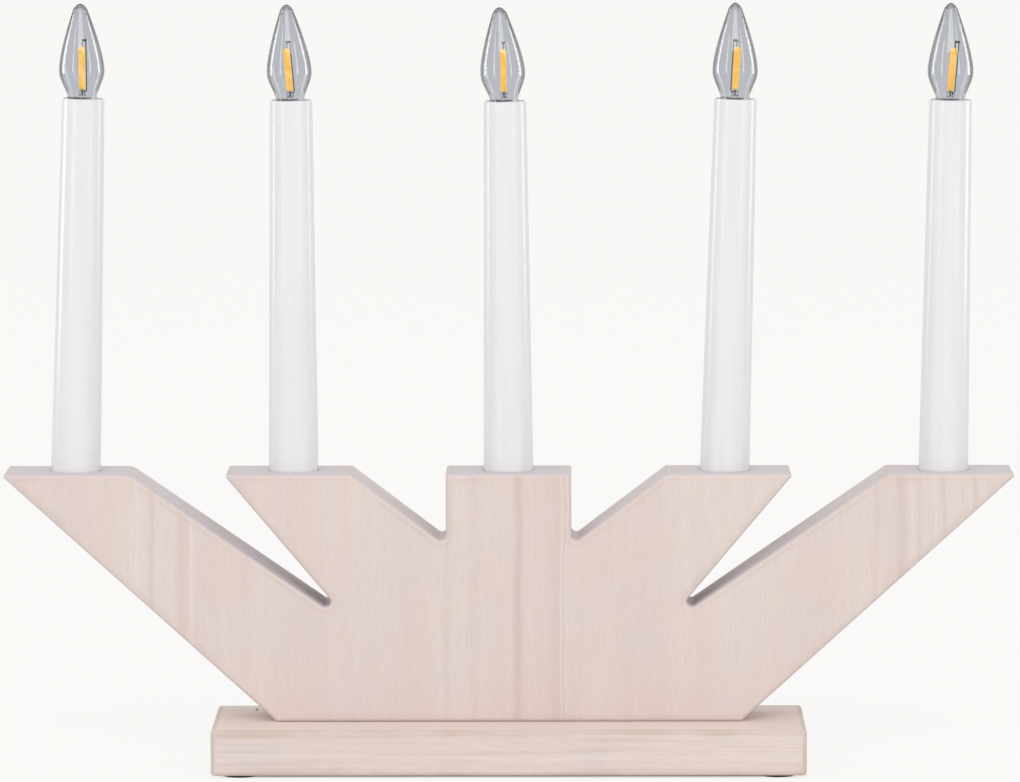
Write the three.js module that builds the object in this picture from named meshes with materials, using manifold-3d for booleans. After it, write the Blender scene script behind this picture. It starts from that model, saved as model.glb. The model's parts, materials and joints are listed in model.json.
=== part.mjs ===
// Five-light wooden candlestick for a window sill, in millimetres, with +Z up and its front facing -Y.
//
// A thick board, cut to a fan of five arms, stands on a flat base board. Each arm holds a white
// candle tube with a small screw-in filament lamp on top. The lamps are wired one after another:
// thin wires run down inside the tubes, along grooves in the back of the board, and the first and
// the last of them end at a terminal block in a pocket under the base.

import * as THREE from 'three';
import { mergeVertices } from 'three/addons/utils/BufferGeometryUtils.js';
import Module from 'manifold-3d';

const wasm = await Module();
wasm.setup();

// Clearance between separate pieces that rest on, in or beside each other
const gap = 0.3;

// How far a cutting tool reaches past the face that it cuts
const overcut = 2;

// Base board and the thin pads it stands on
const base = { width: 208, depth: 60, thickness: 16, cornerRadius: 1.6, easedEdge: 1.2 };
const pad = { radius: 6, height: 1, endInset: 10, sideInset: 9 };
const baseTop = pad.height + base.thickness;
const baseBack = base.depth / 2;

// Upright board: its five arms are one outline, mirrored about the middle
const panel = {
  thickness: 28,
  height: 87.6,
  frontMargin: 20.5,
  footHalf: 81.6,
  blockHalf: 22,
  easedEdge: 0.55,
  cornerRadius: 0.8,
  notchRadius: 1.8,
};
const outerArm = { tip: 178.3, shoulder: 133, slope: 34.55, seatOffset: 19.7 };
const innerArm = { tip: 100, shoulder: 55.3, slope: 37.15, underSlope: 49.87, seatOffset: 20.4 };
const panelFront = panel.frontMargin - base.depth / 2;
const panelBack = panelFront + panel.thickness;
const panelMiddle = (panelFront + panelBack) / 2;
const panelTop = baseTop + panel.height;

// Candle tubes, and the blind holes that they stand in
const seat = { depth: 11 };
const tube = { standing: 130, topRadius: 7.45, footRadius: 8.85, wall: 1.1, rimWall: 0.6, rimRound: 0.5 };
const tubeLength = seat.depth + tube.standing;
const seatFloor = panelTop - seat.depth;
const seatRadius = tube.footRadius + gap;

// Each candle's place, its own small lean towards +X, and how far its tube stands above the seat's
// clearance. Its lamp sits a little askew in the holder, and its blown glass is over or under height.
const outerReach = outerArm.shoulder + outerArm.seatOffset;
const innerReach = innerArm.shoulder + innerArm.seatOffset;
const candles = [
  { x: -outerReach, lean: 1.6, raised: 1.2, lampLean: -2.6, glassOver: -0.3, filamentTurn: 0 },
  { x: -innerReach, lean: -0.1, raised: 0.4, lampLean: -2.1, glassOver: 0.1, filamentTurn: 15 },
  { x: 0, lean: -0.4, raised: 0, lampLean: -2.6, glassOver: -0.6, filamentTurn: 85 },
  { x: innerReach, lean: 1.6, raised: 0.7, lampLean: -1.5, glassOver: 0.2, filamentTurn: 190 },
  { x: outerReach, lean: 0.9, raised: 0.2, lampLean: -0.8, glassOver: 0.4, filamentTurn: -10 },
];

// Screw thread of the lamp cap, and of the shell that it turns in
const thread = { pitch: 1.814, meanRadius: 4.45, halfDepth: 0.25, turns: 2.5, clearance: 0.3, rowsPerTurn: 4 };
const threadLength = thread.pitch * thread.turns;

// Lamp cap, measured down from the tube's rim
const cap = { sunk: 1.2, collarRadius: 4.85, collarHeight: 2, wall: 0.35, nose: 1, noseRadius: 2.8 };
const capThreadTop = -cap.sunk - cap.collarHeight - gap;
const capThreadEnd = capThreadTop - threadLength;
const capBottom = capThreadEnd - gap - cap.nose;
const capBore = thread.meanRadius - thread.halfDepth - cap.wall;

// Solder contact under the cap
const tip = { radius: 2, height: 1.2, faceRadius: 0.9 };
const tipTop = capBottom - gap;
const tipBottom = tipTop - tip.height;

// Glass of the lamp, measured up from the tube's rim
const glass = {
  height: 33.4,
  bellyHeight: 9.3,
  bellyRadius: 7.96,
  mouthRadius: 4.75,
  lowerPower: 1.35,
  taper: 0.327,
  shoulderBlend: 7.5,
  domeRadius: 2.2,
  wall: 0.6,
  neckLength: 5.1,
};

// Heights of the glass's outline points, as shares of the way up to the belly and on to the dome
const glassRows = { toBelly: [0, 0.3, 0.6, 1], toDome: [0.3, 0.6, 1] };
const glassNeckTop = gap - cap.sunk;
const glassNeckRadius = capBore - gap;
const glassNeckBottom = glassNeckTop - glass.neckLength;

// Filament stick and what carries it
const stem = { radius: 1, beadRadius: 1.6, beadHeight: 2, top: 3.2, footHeight: 0.6 };
const stick = { width: 2.4, thickness: 0.9, bottom: 3.1, top: 18.1 };
const hanger = { offset: 1.75, radius: 0.25, crossHeight: 20.3, crossInner: 0.3, crossThickness: 0.6 };

// Threaded shell, its holder and the centre contact. The shell, and the lamp in it, lean about its middle.
const shell = { wall: 0.3, mouth: 0.08, tail: 0.6 };
const shellMean = thread.meanRadius + thread.clearance;
const shellRadius = shellMean + thread.halfDepth + shell.wall;
const shellTop = capThreadTop;
const shellBottom = capThreadEnd - shell.tail;
const shellMiddle = (shellTop + shellBottom) / 2;
const holder = { flange: 1, flangeDrop: 0.1, shellGap: 0.15, shoulderRadius: 4.4, floor: 2.5, wireHole: 1.3 };
const holderBore = shellRadius + holder.shellGap;
const holderRadius = tube.topRadius - tube.wall - gap;
const flangeSeatRadius = tube.topRadius - tube.rimWall;
const flangeSeatDepth = holder.flangeDrop + holder.flange + gap;
const contact = { radius: 3.2, plate: 0.5, postRadius: 1.2, postHeight: 2.2 };
const contactTop = tipBottom - gap;
const contactBottom = contactTop - contact.postHeight - contact.plate;
const holderFloorTop = contactBottom - gap;
const holderBottom = holderFloorTop - holder.floor;

// Wires, their grooves in the back of the board, and the slanted holes up to the tubes
const wire = { radius: 1, pairOffset: 1.5, laneOffset: 1.3, bend: 4, tightBend: 2.9 };
const groove = { halfWidth: 2.8, depth: 4.2 };
const grooveFloor = panelBack - groove.depth;
const wireDepth = grooveFloor + gap + wire.radius;
const slant = { radius: 3.6, drop: 8.5, outerRun: 7.7, innerRun: 6.1 };

// Shallow pocket at the foot of the back, where all grooves end. Heights are above the base board.
const wiringPocket = { halfWidth: 37, height: 22, cornerRadius: 3 };
const outerGrooveEnd = { x: 36, height: 8.4 };
const innerGrooveEnd = { x: 25, height: 19.6 };

// How the wires turn there, as [distance from the middle, height] from the outer groove inward
const outerLoop = [[31, 7.5], [22.5, 8.6], [21.5, 13.6]];
const innerLoop = [[11, 8.8], [wire.laneOffset, 11.1]];
const feedTurn = { x: 28.7, height: 3 };

// Underside of the base: pocket, cover plate, wire hole, terminal block and cord inlet
const pocket = { halfWidth: 48, front: -12, back: 24, ceiling: 5, cornerRadius: 4 };
const cover = { thickness: 2, recess: 0.2, endLip: 8, frontLip: 4, backLip: 2, cornerRadius: 4 };
const coverBottom = pad.height + cover.recess;
const coverTop = coverBottom + cover.thickness;
const pocketBottom = coverTop + gap;
const pocketTop = baseTop - pocket.ceiling;
const feedHole = { radius: 3.8, pairOffset: 2 };
const terminal = { length: 14, width: 16, x: 24, wayPitch: 8, wayRadius: 1.6, wireReach: 6, cornerRadius: 1 };
const inlet = { x: 40, boreRadius: 2.6, wall: 0.9, flangeRadius: 5, flange: 1.4 };
const inletHeight = (pocketBottom + pocketTop) / 2;

// Countersunk wood screws
const panelScrew = { x: 68, radius: 2, headRadius: 4, headHeight: 2.4, length: 38, point: 5, slot: 1 };
const coverScrew = { radius: 1.5, headRadius: 2.8, headHeight: 1.4, length: 10, point: 3, slot: 0.6 };
const coverScrewX = pocket.halfWidth + cover.endLip / 2;
const coverScrewY = (pocket.front + pocket.back) / 2;

// Facets round each kind of turned piece, and the most degrees in one step of a corner or a wire's bend
const facets = { tube: 24, bore: 24, glass: 18, lamp: 12, bush: 12, small: 8, hole: 10, wire: 6, slotEnd: 2 };
const cornerStep = 46;
const bendStep = 30;

// Points closer than this are one point
const tolerance = 1e-4;

const degree = Math.PI / 180;

function finish(color, roughness, metalness) {
  return new THREE.MeshStandardMaterial({ color, roughness, metalness });
}

const limedPine = () => finish(0xe0d2cb, 0.7, 0);
const whitePlastic = () => finish(0xe9e9ea, 0.25, 0);
const clearGlass = () => finish(0xd4d8dc, 0.05, 0);
const brass = () => finish(0xc8a860, 0.35, 1);
const tin = () => finish(0xb9bcc0, 0.4, 1);
const amberCoating = () => finish(0xfdc450, 0.5, 0);
const zincSteel = () => finish(0xa9acae, 0.4, 1);
const blackRubber = () => finish(0x1c1a1a, 0.85, 0);
const whiteInsulation = () => finish(0xe4e3e0, 0.4, 0);
const hardboard = () => finish(0x8a6a4c, 0.8, 0);

// Volume that a closed mesh holds, which is positive where its faces point out
function signedVolume(position, index) {
  const a = new THREE.Vector3();
  const b = new THREE.Vector3();
  const c = new THREE.Vector3();
  let sum = 0;
  for (let i = 0; i < index.length; i += 3) {
    a.fromBufferAttribute(position, index[i]);
    b.fromBufferAttribute(position, index[i + 1]);
    c.fromBufferAttribute(position, index[i + 2]);
    sum += a.dot(b.cross(c)) / 6;
  }
  return sum;
}

// Joins shared vertices, drops faces that have collapsed to a line, and turns all faces outward
function weld(geometry) {
  const bare = geometry.clone();
  bare.deleteAttribute('normal');
  bare.deleteAttribute('uv');
  const merged = mergeVertices(bare, tolerance);
  const index = [];
  for (let i = 0; i < merged.index.count; i += 3) {
    const [a, b, c] = [0, 1, 2].map((k) => merged.index.getX(i + k));
    if (a !== b && b !== c && c !== a) index.push(a, b, c);
  }
  if (signedVolume(merged.attributes.position, index) < 0) index.reverse();
  merged.setIndex(index);
  return merged;
}

function solidOf(geometry) {
  const merged = weld(geometry);
  const vertProperties = new Float32Array(merged.attributes.position.array);
  const triVerts = new Uint32Array(merged.index.array);
  return new wasm.Manifold(new wasm.Mesh({ numProp: 3, vertProperties, triVerts }));
}

function geometryOf(solid) {
  const mesh = solid.getMesh();
  const geometry = new THREE.BufferGeometry();
  geometry.setAttribute('position', new THREE.BufferAttribute(new Float32Array(mesh.vertProperties), 3));
  geometry.setIndex(new THREE.BufferAttribute(new Uint32Array(mesh.triVerts), 1));
  return geometry;
}

function cutFrom(geometry, cutters) {
  return geometryOf(cutters.reduce((body, cutter) => body.subtract(solidOf(cutter)), solidOf(geometry)));
}

function joined(geometries) {
  return geometryOf(geometries.map(solidOf).reduce((body, part) => body.add(part)));
}

// A solid of revolution about Z from [radius, height] pairs
function turned(profile, sides) {
  const points = profile.map(([radius, height]) => new THREE.Vector2(radius, height));
  return new THREE.LatheGeometry(points, sides).rotateX(Math.PI / 2);
}

// A ring of revolution: the profile closes on itself, clear of the axis
function turnedRing(profile, sides) {
  return turned([...profile, profile[0]], sides);
}

// A round bar between two points
function bar(from, to, radius, sides) {
  const along = new THREE.Vector3().subVectors(to, from);
  const middle = new THREE.Vector3().addVectors(from, to).multiplyScalar(0.5);
  const up = new THREE.Vector3(0, 1, 0);
  const turn = new THREE.Quaternion().setFromUnitVectors(up, along.clone().normalize());
  const geometry = new THREE.CylinderGeometry(radius, radius, along.length(), sides);
  return geometry.applyQuaternion(turn).translate(middle.x, middle.y, middle.z);
}

function uprightBar(x, y, bottom, top, radius, sides) {
  return bar(new THREE.Vector3(x, y, bottom), new THREE.Vector3(x, y, top), radius, sides);
}

// The lines through (x1, z1) and (x2, z2), at slopes of angle1 and angle2 degrees, meet here
function crossing(x1, z1, angle1, x2, z2, angle2) {
  const rise1 = Math.tan(angle1 * degree);
  const rise2 = Math.tan(angle2 * degree);
  const x = (z2 - z1 + rise1 * x1 - rise2 * x2) / (rise1 - rise2);
  return { x, z: z1 + rise1 * (x - x1) };
}

// A closed outline whose corners [x, y, radius] are rounded by arcs that touch both sides
function roundedShape(corners) {
  const points = [];
  corners.forEach(([x, y, radius], i) => {
    const corner = new THREE.Vector2(x, y);
    const before = new THREE.Vector2(...corners.at(i - 1)).sub(corner).normalize();
    const after = new THREE.Vector2(...corners[(i + 1) % corners.length]).sub(corner).normalize();
    const half = Math.acos(before.dot(after)) / 2;
    const middle = before.clone().add(after).normalize().multiplyScalar(radius / Math.sin(half));
    const centre = corner.clone().add(middle);
    const start = corner.clone().addScaledVector(before, radius / Math.tan(half)).sub(centre);
    const end = corner.clone().addScaledVector(after, radius / Math.tan(half)).sub(centre);
    const sweep = Math.atan2(start.cross(end), start.dot(end));
    const steps = Math.ceil(Math.abs(sweep) / (cornerStep * degree));
    for (let k = 0; k <= steps; k += 1) {
      const spoke = start.clone().rotateAround(new THREE.Vector2(), (sweep * k) / steps);
      points.push(centre.clone().add(spoke));
    }
  });
  return new THREE.Shape(points);
}

function roundedRectangle(xMin, xMax, yMin, yMax, radius) {
  return roundedShape([
    [xMin, yMin, radius],
    [xMax, yMin, radius],
    [xMax, yMax, radius],
    [xMin, yMax, radius],
  ]);
}

// A slot outline with round ends between two points
function slotShape(from, to, halfWidth) {
  const side = new THREE.Vector2().subVectors(to, from).normalize().multiplyScalar(halfWidth);
  side.rotateAround(new THREE.Vector2(), Math.PI / 2);
  const shape = new THREE.Shape();
  const startAngle = side.angle();
  shape.moveTo(from.x + side.x, from.y + side.y);
  shape.absarc(from.x, from.y, halfWidth, startAngle, startAngle + Math.PI, false);
  shape.lineTo(to.x - side.x, to.y - side.y);
  shape.absarc(to.x, to.y, halfWidth, startAngle + Math.PI, startAngle + 2 * Math.PI, false);
  shape.closePath();
  return shape;
}

// An outline carried up by its thickness, with its edges eased by a small flat
function slab(shape, thickness, ease) {
  return new THREE.ExtrudeGeometry(shape, {
    depth: thickness - 2 * ease,
    curveSegments: facets.slotEnd,
    bevelEnabled: ease > 0,
    bevelThickness: ease,
    bevelSize: ease,
    bevelOffset: -ease,
    bevelSegments: 1,
  });
}

// An outline in X and Z, carried from one depth to another
function slabAcross(shape, nearY, farY, ease = 0) {
  return slab(shape, farY - nearY, ease).rotateX(Math.PI / 2).translate(0, farY - ease, 0);
}

// An outline in X and Y, carried from one height to another
function slabUp(shape, bottom, top, ease = 0) {
  return slab(shape, top - bottom, ease).translate(0, 0, bottom + ease);
}

// A route of straight runs; a corner [x, y, z, bend] is rounded to that bend radius in even steps
class Route extends THREE.Curve {
  constructor(corners) {
    super();
    const points = corners.map(([x, y, z]) => new THREE.Vector3(x, y, z));
    this.stations = [points[0]];
    for (let i = 1; i < points.length - 1; i += 1) {
      const back = points[i - 1].clone().sub(points[i]).normalize();
      const on = points[i + 1].clone().sub(points[i]).normalize();
      const half = Math.acos(THREE.MathUtils.clamp(back.dot(on), -1, 1)) / 2;
      const reach = (corners[i][3] ?? wire.bend) / Math.tan(half);
      const first = points[i].clone().addScaledVector(back, reach);
      const last = points[i].clone().addScaledVector(on, reach);
      const arc = new THREE.QuadraticBezierCurve3(first, points[i], last);
      const steps = Math.max(1, Math.round((Math.PI - 2 * half) / (bendStep * degree)));
      this.stations.push(...arc.getPoints(steps));
    }
    this.stations.push(points.at(-1));
  }

  getPoint(t, target = new THREE.Vector3()) {
    const place = t * (this.stations.length - 1);
    const i = Math.min(Math.floor(place), this.stations.length - 2);
    return target.lerpVectors(this.stations[i], this.stations[i + 1], place - i);
  }

  getUtoTmapping(u) {
    return u;
  }
}

function wireAlong(corners) {
  const route = new Route(corners);
  const ring = Array.from({ length: facets.wire }, (_, k) => {
    const angle = (k / facets.wire) * 2 * Math.PI;
    return new THREE.Vector2(wire.radius * Math.cos(angle), wire.radius * Math.sin(angle));
  });
  return new THREE.ExtrudeGeometry(new THREE.Shape(ring), {
    steps: route.stations.length - 1,
    extrudePath: route,
    bevelEnabled: false,
  });
}

// Where the two slopes of each notch meet
const outerNotch = crossing(
  outerArm.shoulder, panelTop, outerArm.slope,
  innerArm.tip, panelTop, innerArm.underSlope,
);
const innerNotch = {
  x: panel.blockHalf,
  z: panelTop - (innerArm.shoulder - panel.blockHalf) * Math.tan(innerArm.slope * degree),
};

function panelOutline() {
  const half = [
    [panel.footHalf, baseTop, panel.cornerRadius],
    [outerArm.tip, panelTop, panel.cornerRadius],
    [outerArm.shoulder, panelTop, panel.cornerRadius],
    [outerNotch.x, outerNotch.z, panel.notchRadius],
    [innerArm.tip, panelTop, panel.cornerRadius],
    [innerArm.shoulder, panelTop, panel.cornerRadius],
    [innerNotch.x, innerNotch.z, panel.notchRadius],
    [panel.blockHalf, panelTop, panel.cornerRadius],
  ];
  const mirrored = half.map(([x, z, radius]) => [-x, z, radius]).reverse();
  return roundedShape([...half, ...mirrored]);
}

// The frame of one candle: its origin is on the seat's floor, and its Z runs up the leaning tube
function candleFrame(candle) {
  const frame = new THREE.Group();
  frame.position.set(candle.x, panelMiddle, seatFloor);
  frame.rotation.y = candle.lean * degree;
  frame.updateMatrix();
  return frame;
}

function onCandle(candle, x, height) {
  const point = new THREE.Vector3(x, 0, height).applyMatrix4(candleFrame(candle).matrix);
  return [point.x, point.y, point.z];
}

// Where a candle's slanted wire hole meets its groove, as X and Z on the back of the board
function grooveStart(candle) {
  const run = Math.abs(candle.x) > innerReach ? slant.outerRun : slant.innerRun;
  return new THREE.Vector2(candle.x - Math.sign(candle.x) * run, seatFloor - slant.drop);
}

function grooveEnd(candle) {
  const end = Math.abs(candle.x) > innerReach ? outerGrooveEnd : innerGrooveEnd;
  return new THREE.Vector2(Math.sign(candle.x) * end.x, baseTop + end.height);
}

function slantedHole(candle) {
  const start = grooveStart(candle);
  const inner = new THREE.Vector3(candle.x, panelMiddle, seatFloor);
  const outer = new THREE.Vector3(start.x, wireDepth, start.y);
  const along = new THREE.Vector3().subVectors(outer, inner).normalize();
  const past = (panelBack + overcut - wireDepth + slant.radius) / along.y;
  return bar(
    inner.clone().addScaledVector(along, -overcut / 2),
    outer.clone().addScaledVector(along, past),
    slant.radius,
    facets.hole,
  );
}

function seatBore(candle) {
  const bore = uprightBar(0, 0, 0, seat.depth + overcut, seatRadius, facets.bore);
  return bore.applyMatrix4(candleFrame(candle).matrix);
}

function woodPanel() {
  const board = slabAcross(panelOutline(), panelFront, panelBack, panel.easedEdge);
  const grooves = candles.map((candle) => {
    const shape = slotShape(grooveStart(candle), grooveEnd(candle), groove.halfWidth);
    return slabAcross(shape, grooveFloor, panelBack + overcut);
  });
  const pocketShape = roundedRectangle(
    -wiringPocket.halfWidth,
    wiringPocket.halfWidth,
    baseTop - wiringPocket.cornerRadius,
    baseTop + wiringPocket.height,
    wiringPocket.cornerRadius,
  );
  const screwHoles = [-1, 1].map((side) => {
    const top = coverBottom + panelScrew.length + gap;
    return uprightBar(side * panelScrew.x, panelMiddle, 0, top, panelScrew.radius + gap, facets.small);
  });
  const cutters = [
    ...candles.map(seatBore),
    ...candles.map(slantedHole),
    ...grooves,
    slabAcross(pocketShape, grooveFloor, panelBack + overcut),
    ...screwHoles,
  ];
  return cutFrom(board, cutters);
}

// The room that a countersunk screw needs, with the common clearance all round it
function screwRoom(x, y, headBottom, screw) {
  const head = [
    [0, headBottom - overcut],
    [screw.headRadius + gap, headBottom - overcut],
    [screw.headRadius + gap, headBottom],
    [screw.radius + gap, headBottom + screw.headHeight],
    [screw.radius + gap, headBottom + screw.length + gap],
    [0, headBottom + screw.length + gap],
  ];
  return turned(head, facets.small).translate(x, y, 0);
}

function baseBoard() {
  const outline = roundedRectangle(
    -base.width / 2, base.width / 2, -base.depth / 2, base.depth / 2, base.cornerRadius,
  );
  const board = slabUp(outline, pad.height, baseTop, base.easedEdge);
  const pocketCut = slabUp(
    roundedRectangle(-pocket.halfWidth, pocket.halfWidth, pocket.front, pocket.back, pocket.cornerRadius),
    0,
    pocketTop,
  );
  const coverCut = slabUp(coverOutline(gap), 0, pocketBottom);
  const feedCut = uprightBar(0, wireDepth, 0, baseTop + overcut, feedHole.radius, facets.hole);
  const inletCut = bar(
    new THREE.Vector3(inlet.x, pocket.back - overcut, inletHeight),
    new THREE.Vector3(inlet.x, baseBack + overcut, inletHeight),
    inlet.boreRadius + inlet.wall + gap,
    facets.bush,
  );
  const flangeCut = bar(
    new THREE.Vector3(inlet.x, baseBack - inlet.flange - gap, inletHeight),
    new THREE.Vector3(inlet.x, baseBack + overcut, inletHeight),
    inlet.flangeRadius + gap,
    facets.bush,
  );
  const screwCuts = [-1, 1].flatMap((side) => [
    screwRoom(side * panelScrew.x, panelMiddle, coverBottom, panelScrew),
    screwRoom(side * coverScrewX, coverScrewY, coverBottom, coverScrew),
  ]);
  return cutFrom(board, [pocketCut, coverCut, feedCut, inletCut, flangeCut, ...screwCuts]);
}

function coverOutline(grow) {
  return roundedRectangle(
    -pocket.halfWidth - cover.endLip - grow,
    pocket.halfWidth + cover.endLip + grow,
    pocket.front - cover.frontLip - grow,
    pocket.back + cover.backLip + grow,
    cover.cornerRadius + grow,
  );
}

function baseCover() {
  const plate = slabUp(coverOutline(0), coverBottom, coverTop);
  const cuts = [-1, 1].map((side) => screwRoom(side * coverScrewX, coverScrewY, coverBottom, coverScrew));
  return cutFrom(plate, cuts);
}

// A countersunk wood screw, head down, its head's face at height 0, with a driver slot
function woodScrew(screw) {
  const profile = [
    [0, 0],
    [screw.headRadius, 0],
    [screw.radius, screw.headHeight],
    [screw.radius, screw.length - screw.point],
    [0, screw.length],
  ];
  const slotDepth = screw.headHeight / 2;
  const slot = new THREE.BoxGeometry(2 * screw.headRadius + overcut, screw.slot, 2 * slotDepth);
  return cutFrom(turned(profile, facets.small), [slot]);
}

function footPad() {
  return new THREE.CylinderGeometry(pad.radius, pad.radius, pad.height, facets.bore).rotateX(Math.PI / 2);
}

function terminalBlock() {
  const shape = roundedRectangle(
    terminal.x - terminal.length / 2,
    terminal.x + terminal.length / 2,
    panelMiddle - terminal.width / 2,
    panelMiddle + terminal.width / 2,
    terminal.cornerRadius,
  );
  const block = slabUp(shape, pocketBottom, pocketTop - gap);
  const ways = [-1, 1].map((side) => {
    const y = panelMiddle + (side * terminal.wayPitch) / 2;
    const reach = terminal.length / 2 + overcut;
    return bar(
      new THREE.Vector3(terminal.x - reach, y, inletHeight),
      new THREE.Vector3(terminal.x + reach, y, inletHeight),
      terminal.wayRadius,
      facets.small,
    );
  });
  return cutFrom(block, ways);
}

// A bush in the rear edge of the base, where a supply cord goes in, its flange flush with the wood
function inletBush() {
  const shank = inlet.boreRadius + inlet.wall;
  const flangeFoot = baseBack - inlet.flange - pocket.back;
  const profile = [
    [inlet.boreRadius, 0],
    [shank, 0],
    [shank, flangeFoot],
    [inlet.flangeRadius, flangeFoot],
    [inlet.flangeRadius, flangeFoot + inlet.flange],
    [inlet.boreRadius, flangeFoot + inlet.flange],
  ];
  return turnedRing(profile, facets.bush).rotateX(-Math.PI / 2);
}

function candleTube() {
  const seatFoot = tubeLength + holderBottom - gap;
  const profile = [
    [tube.footRadius, gap],
    [tube.topRadius, tubeLength - tube.rimRound],
    [tube.topRadius - tube.rimRound / 2, tubeLength],
    [flangeSeatRadius, tubeLength],
    [flangeSeatRadius, tubeLength - flangeSeatDepth],
    [tube.topRadius - tube.wall, tubeLength - flangeSeatDepth],
    [tube.topRadius - tube.wall, seatFoot],
    [tube.footRadius - tube.wall, gap],
  ];
  return turnedRing(profile, facets.tube);
}

function lampHolder() {
  const flangeTop = -holder.flangeDrop;
  const flangeBottom = flangeTop - holder.flange;
  const profile = [
    [0, holderBottom],
    [holderRadius, holderBottom],
    [holderRadius, flangeBottom],
    [flangeSeatRadius - gap, flangeBottom],
    [flangeSeatRadius - gap, flangeTop],
    [holderBore, flangeTop],
    [holderBore, shellBottom - gap],
    [holder.shoulderRadius, shellBottom - gap],
    [holder.shoulderRadius, holderFloorTop],
    [0, holderFloorTop],
  ];
  const wireHoles = [-1, 1].map((side) => {
    const x = side * wire.pairOffset;
    const top = holderFloorTop - gap;
    return uprightBar(x, 0, holderBottom - overcut, top, holder.wireHole, facets.small);
  });
  return cutFrom(turned(profile, facets.bush), wireHoles);
}

// Moves the points at a turned surface's mean radius in and out along a right-hand screw line
function cutThread(geometry, meanRadius) {
  const position = geometry.attributes.position;
  const point = new THREE.Vector3();
  for (let i = 0; i < position.count; i += 1) {
    point.fromBufferAttribute(position, i);
    if (Math.abs(Math.hypot(point.x, point.y) - meanRadius) > tolerance) continue;
    const angle = Math.atan2(point.y, point.x);
    const phase = angle - (2 * Math.PI * (point.z - capThreadEnd)) / thread.pitch;
    const scale = 1 + (thread.halfDepth * Math.cos(phase)) / meanRadius;
    position.setXYZ(i, point.x * scale, point.y * scale, point.z);
  }
  return geometry;
}

// Rows of a thread at its mean radius, from the bottom up
function threadRows(meanRadius) {
  const count = Math.round(thread.turns * thread.rowsPerTurn);
  return Array.from({ length: count - 1 }, (_, k) => [
    meanRadius,
    capThreadEnd + (threadLength * (k + 1)) / count,
  ]);
}

function socketShell() {
  const open = shellMean + thread.halfDepth;
  const profile = [
    [shellRadius, shellBottom],
    [shellRadius, shellTop],
    [open, shellTop],
    [open, shellTop - shell.mouth],
    ...threadRows(shellMean).reverse(),
    [open, capThreadEnd],
    [open, shellBottom],
  ];
  return cutThread(turnedRing(profile, facets.lamp), shellMean);
}

function centreContact() {
  const profile = [
    [0, contactBottom],
    [contact.radius, contactBottom],
    [contact.radius, contactBottom + contact.plate],
    [contact.postRadius, contactBottom + contact.plate],
    [contact.postRadius, contactTop],
    [0, contactTop],
  ];
  return turned(profile, facets.small);
}

function lampCap() {
  const root = thread.meanRadius - thread.halfDepth;
  const collarBottom = -cap.sunk - cap.collarHeight;
  const profile = [
    [0, capBottom],
    [cap.noseRadius, capBottom],
    [root, capBottom + cap.nose],
    [root, capThreadEnd],
    ...threadRows(thread.meanRadius),
    [root, capThreadTop],
    [root, collarBottom],
    [cap.collarRadius, collarBottom],
    [cap.collarRadius, -cap.sunk],
    [capBore, -cap.sunk],
    [capBore, capBottom + cap.nose],
    [0, capBottom + cap.nose],
  ];
  return cutThread(turned(profile, facets.lamp), thread.meanRadius);
}

function solderTip() {
  const profile = [
    [0, tipBottom],
    [tip.faceRadius, tipBottom],
    [tip.radius, tipTop - tip.height / 2],
    [tip.radius, tipTop],
    [0, tipTop],
  ];
  return turned(profile, facets.small);
}

// Outside radius of the glass at a height over the rim: a flare up to the belly, then a long taper
function glassRadius(height) {
  if (height < glass.bellyHeight) {
    const below = (1 - height / glass.bellyHeight) ** glass.lowerPower;
    return glass.bellyRadius - (glass.bellyRadius - glass.mouthRadius) * below;
  }
  const above = Math.hypot(height - glass.bellyHeight, glass.shoulderBlend) - glass.shoulderBlend;
  return glass.bellyRadius - glass.taper * above;
}

function lampGlass(height) {
  const domeStart = height - glass.domeRadius;
  const lower = glassRows.toBelly.map((share) => share * glass.bellyHeight);
  const upper = glassRows.toDome.map((share) => THREE.MathUtils.lerp(glass.bellyHeight, domeStart, share));
  const outside = [...lower, ...upper].map((level) => [glassRadius(level), level]);
  const inside = outside.slice(1, -1).map(([radius, level]) => [radius - glass.wall, level]).reverse();
  const bore = glassNeckRadius - glass.wall;
  const profile = [
    [bore, glassNeckBottom],
    [glassNeckRadius, glassNeckBottom],
    [glassNeckRadius, glassNeckTop],
    [glass.mouthRadius, glassNeckTop],
    ...outside,
    [glassRadius(domeStart) * Math.SQRT1_2, height - glass.domeRadius * (1 - Math.SQRT1_2)],
    [0, height],
    [0, domeStart - glass.wall],
    ...inside,
    [bore, glassNeckTop + glass.wall],
  ];
  return turned([...profile, profile[0]], facets.glass);
}

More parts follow.
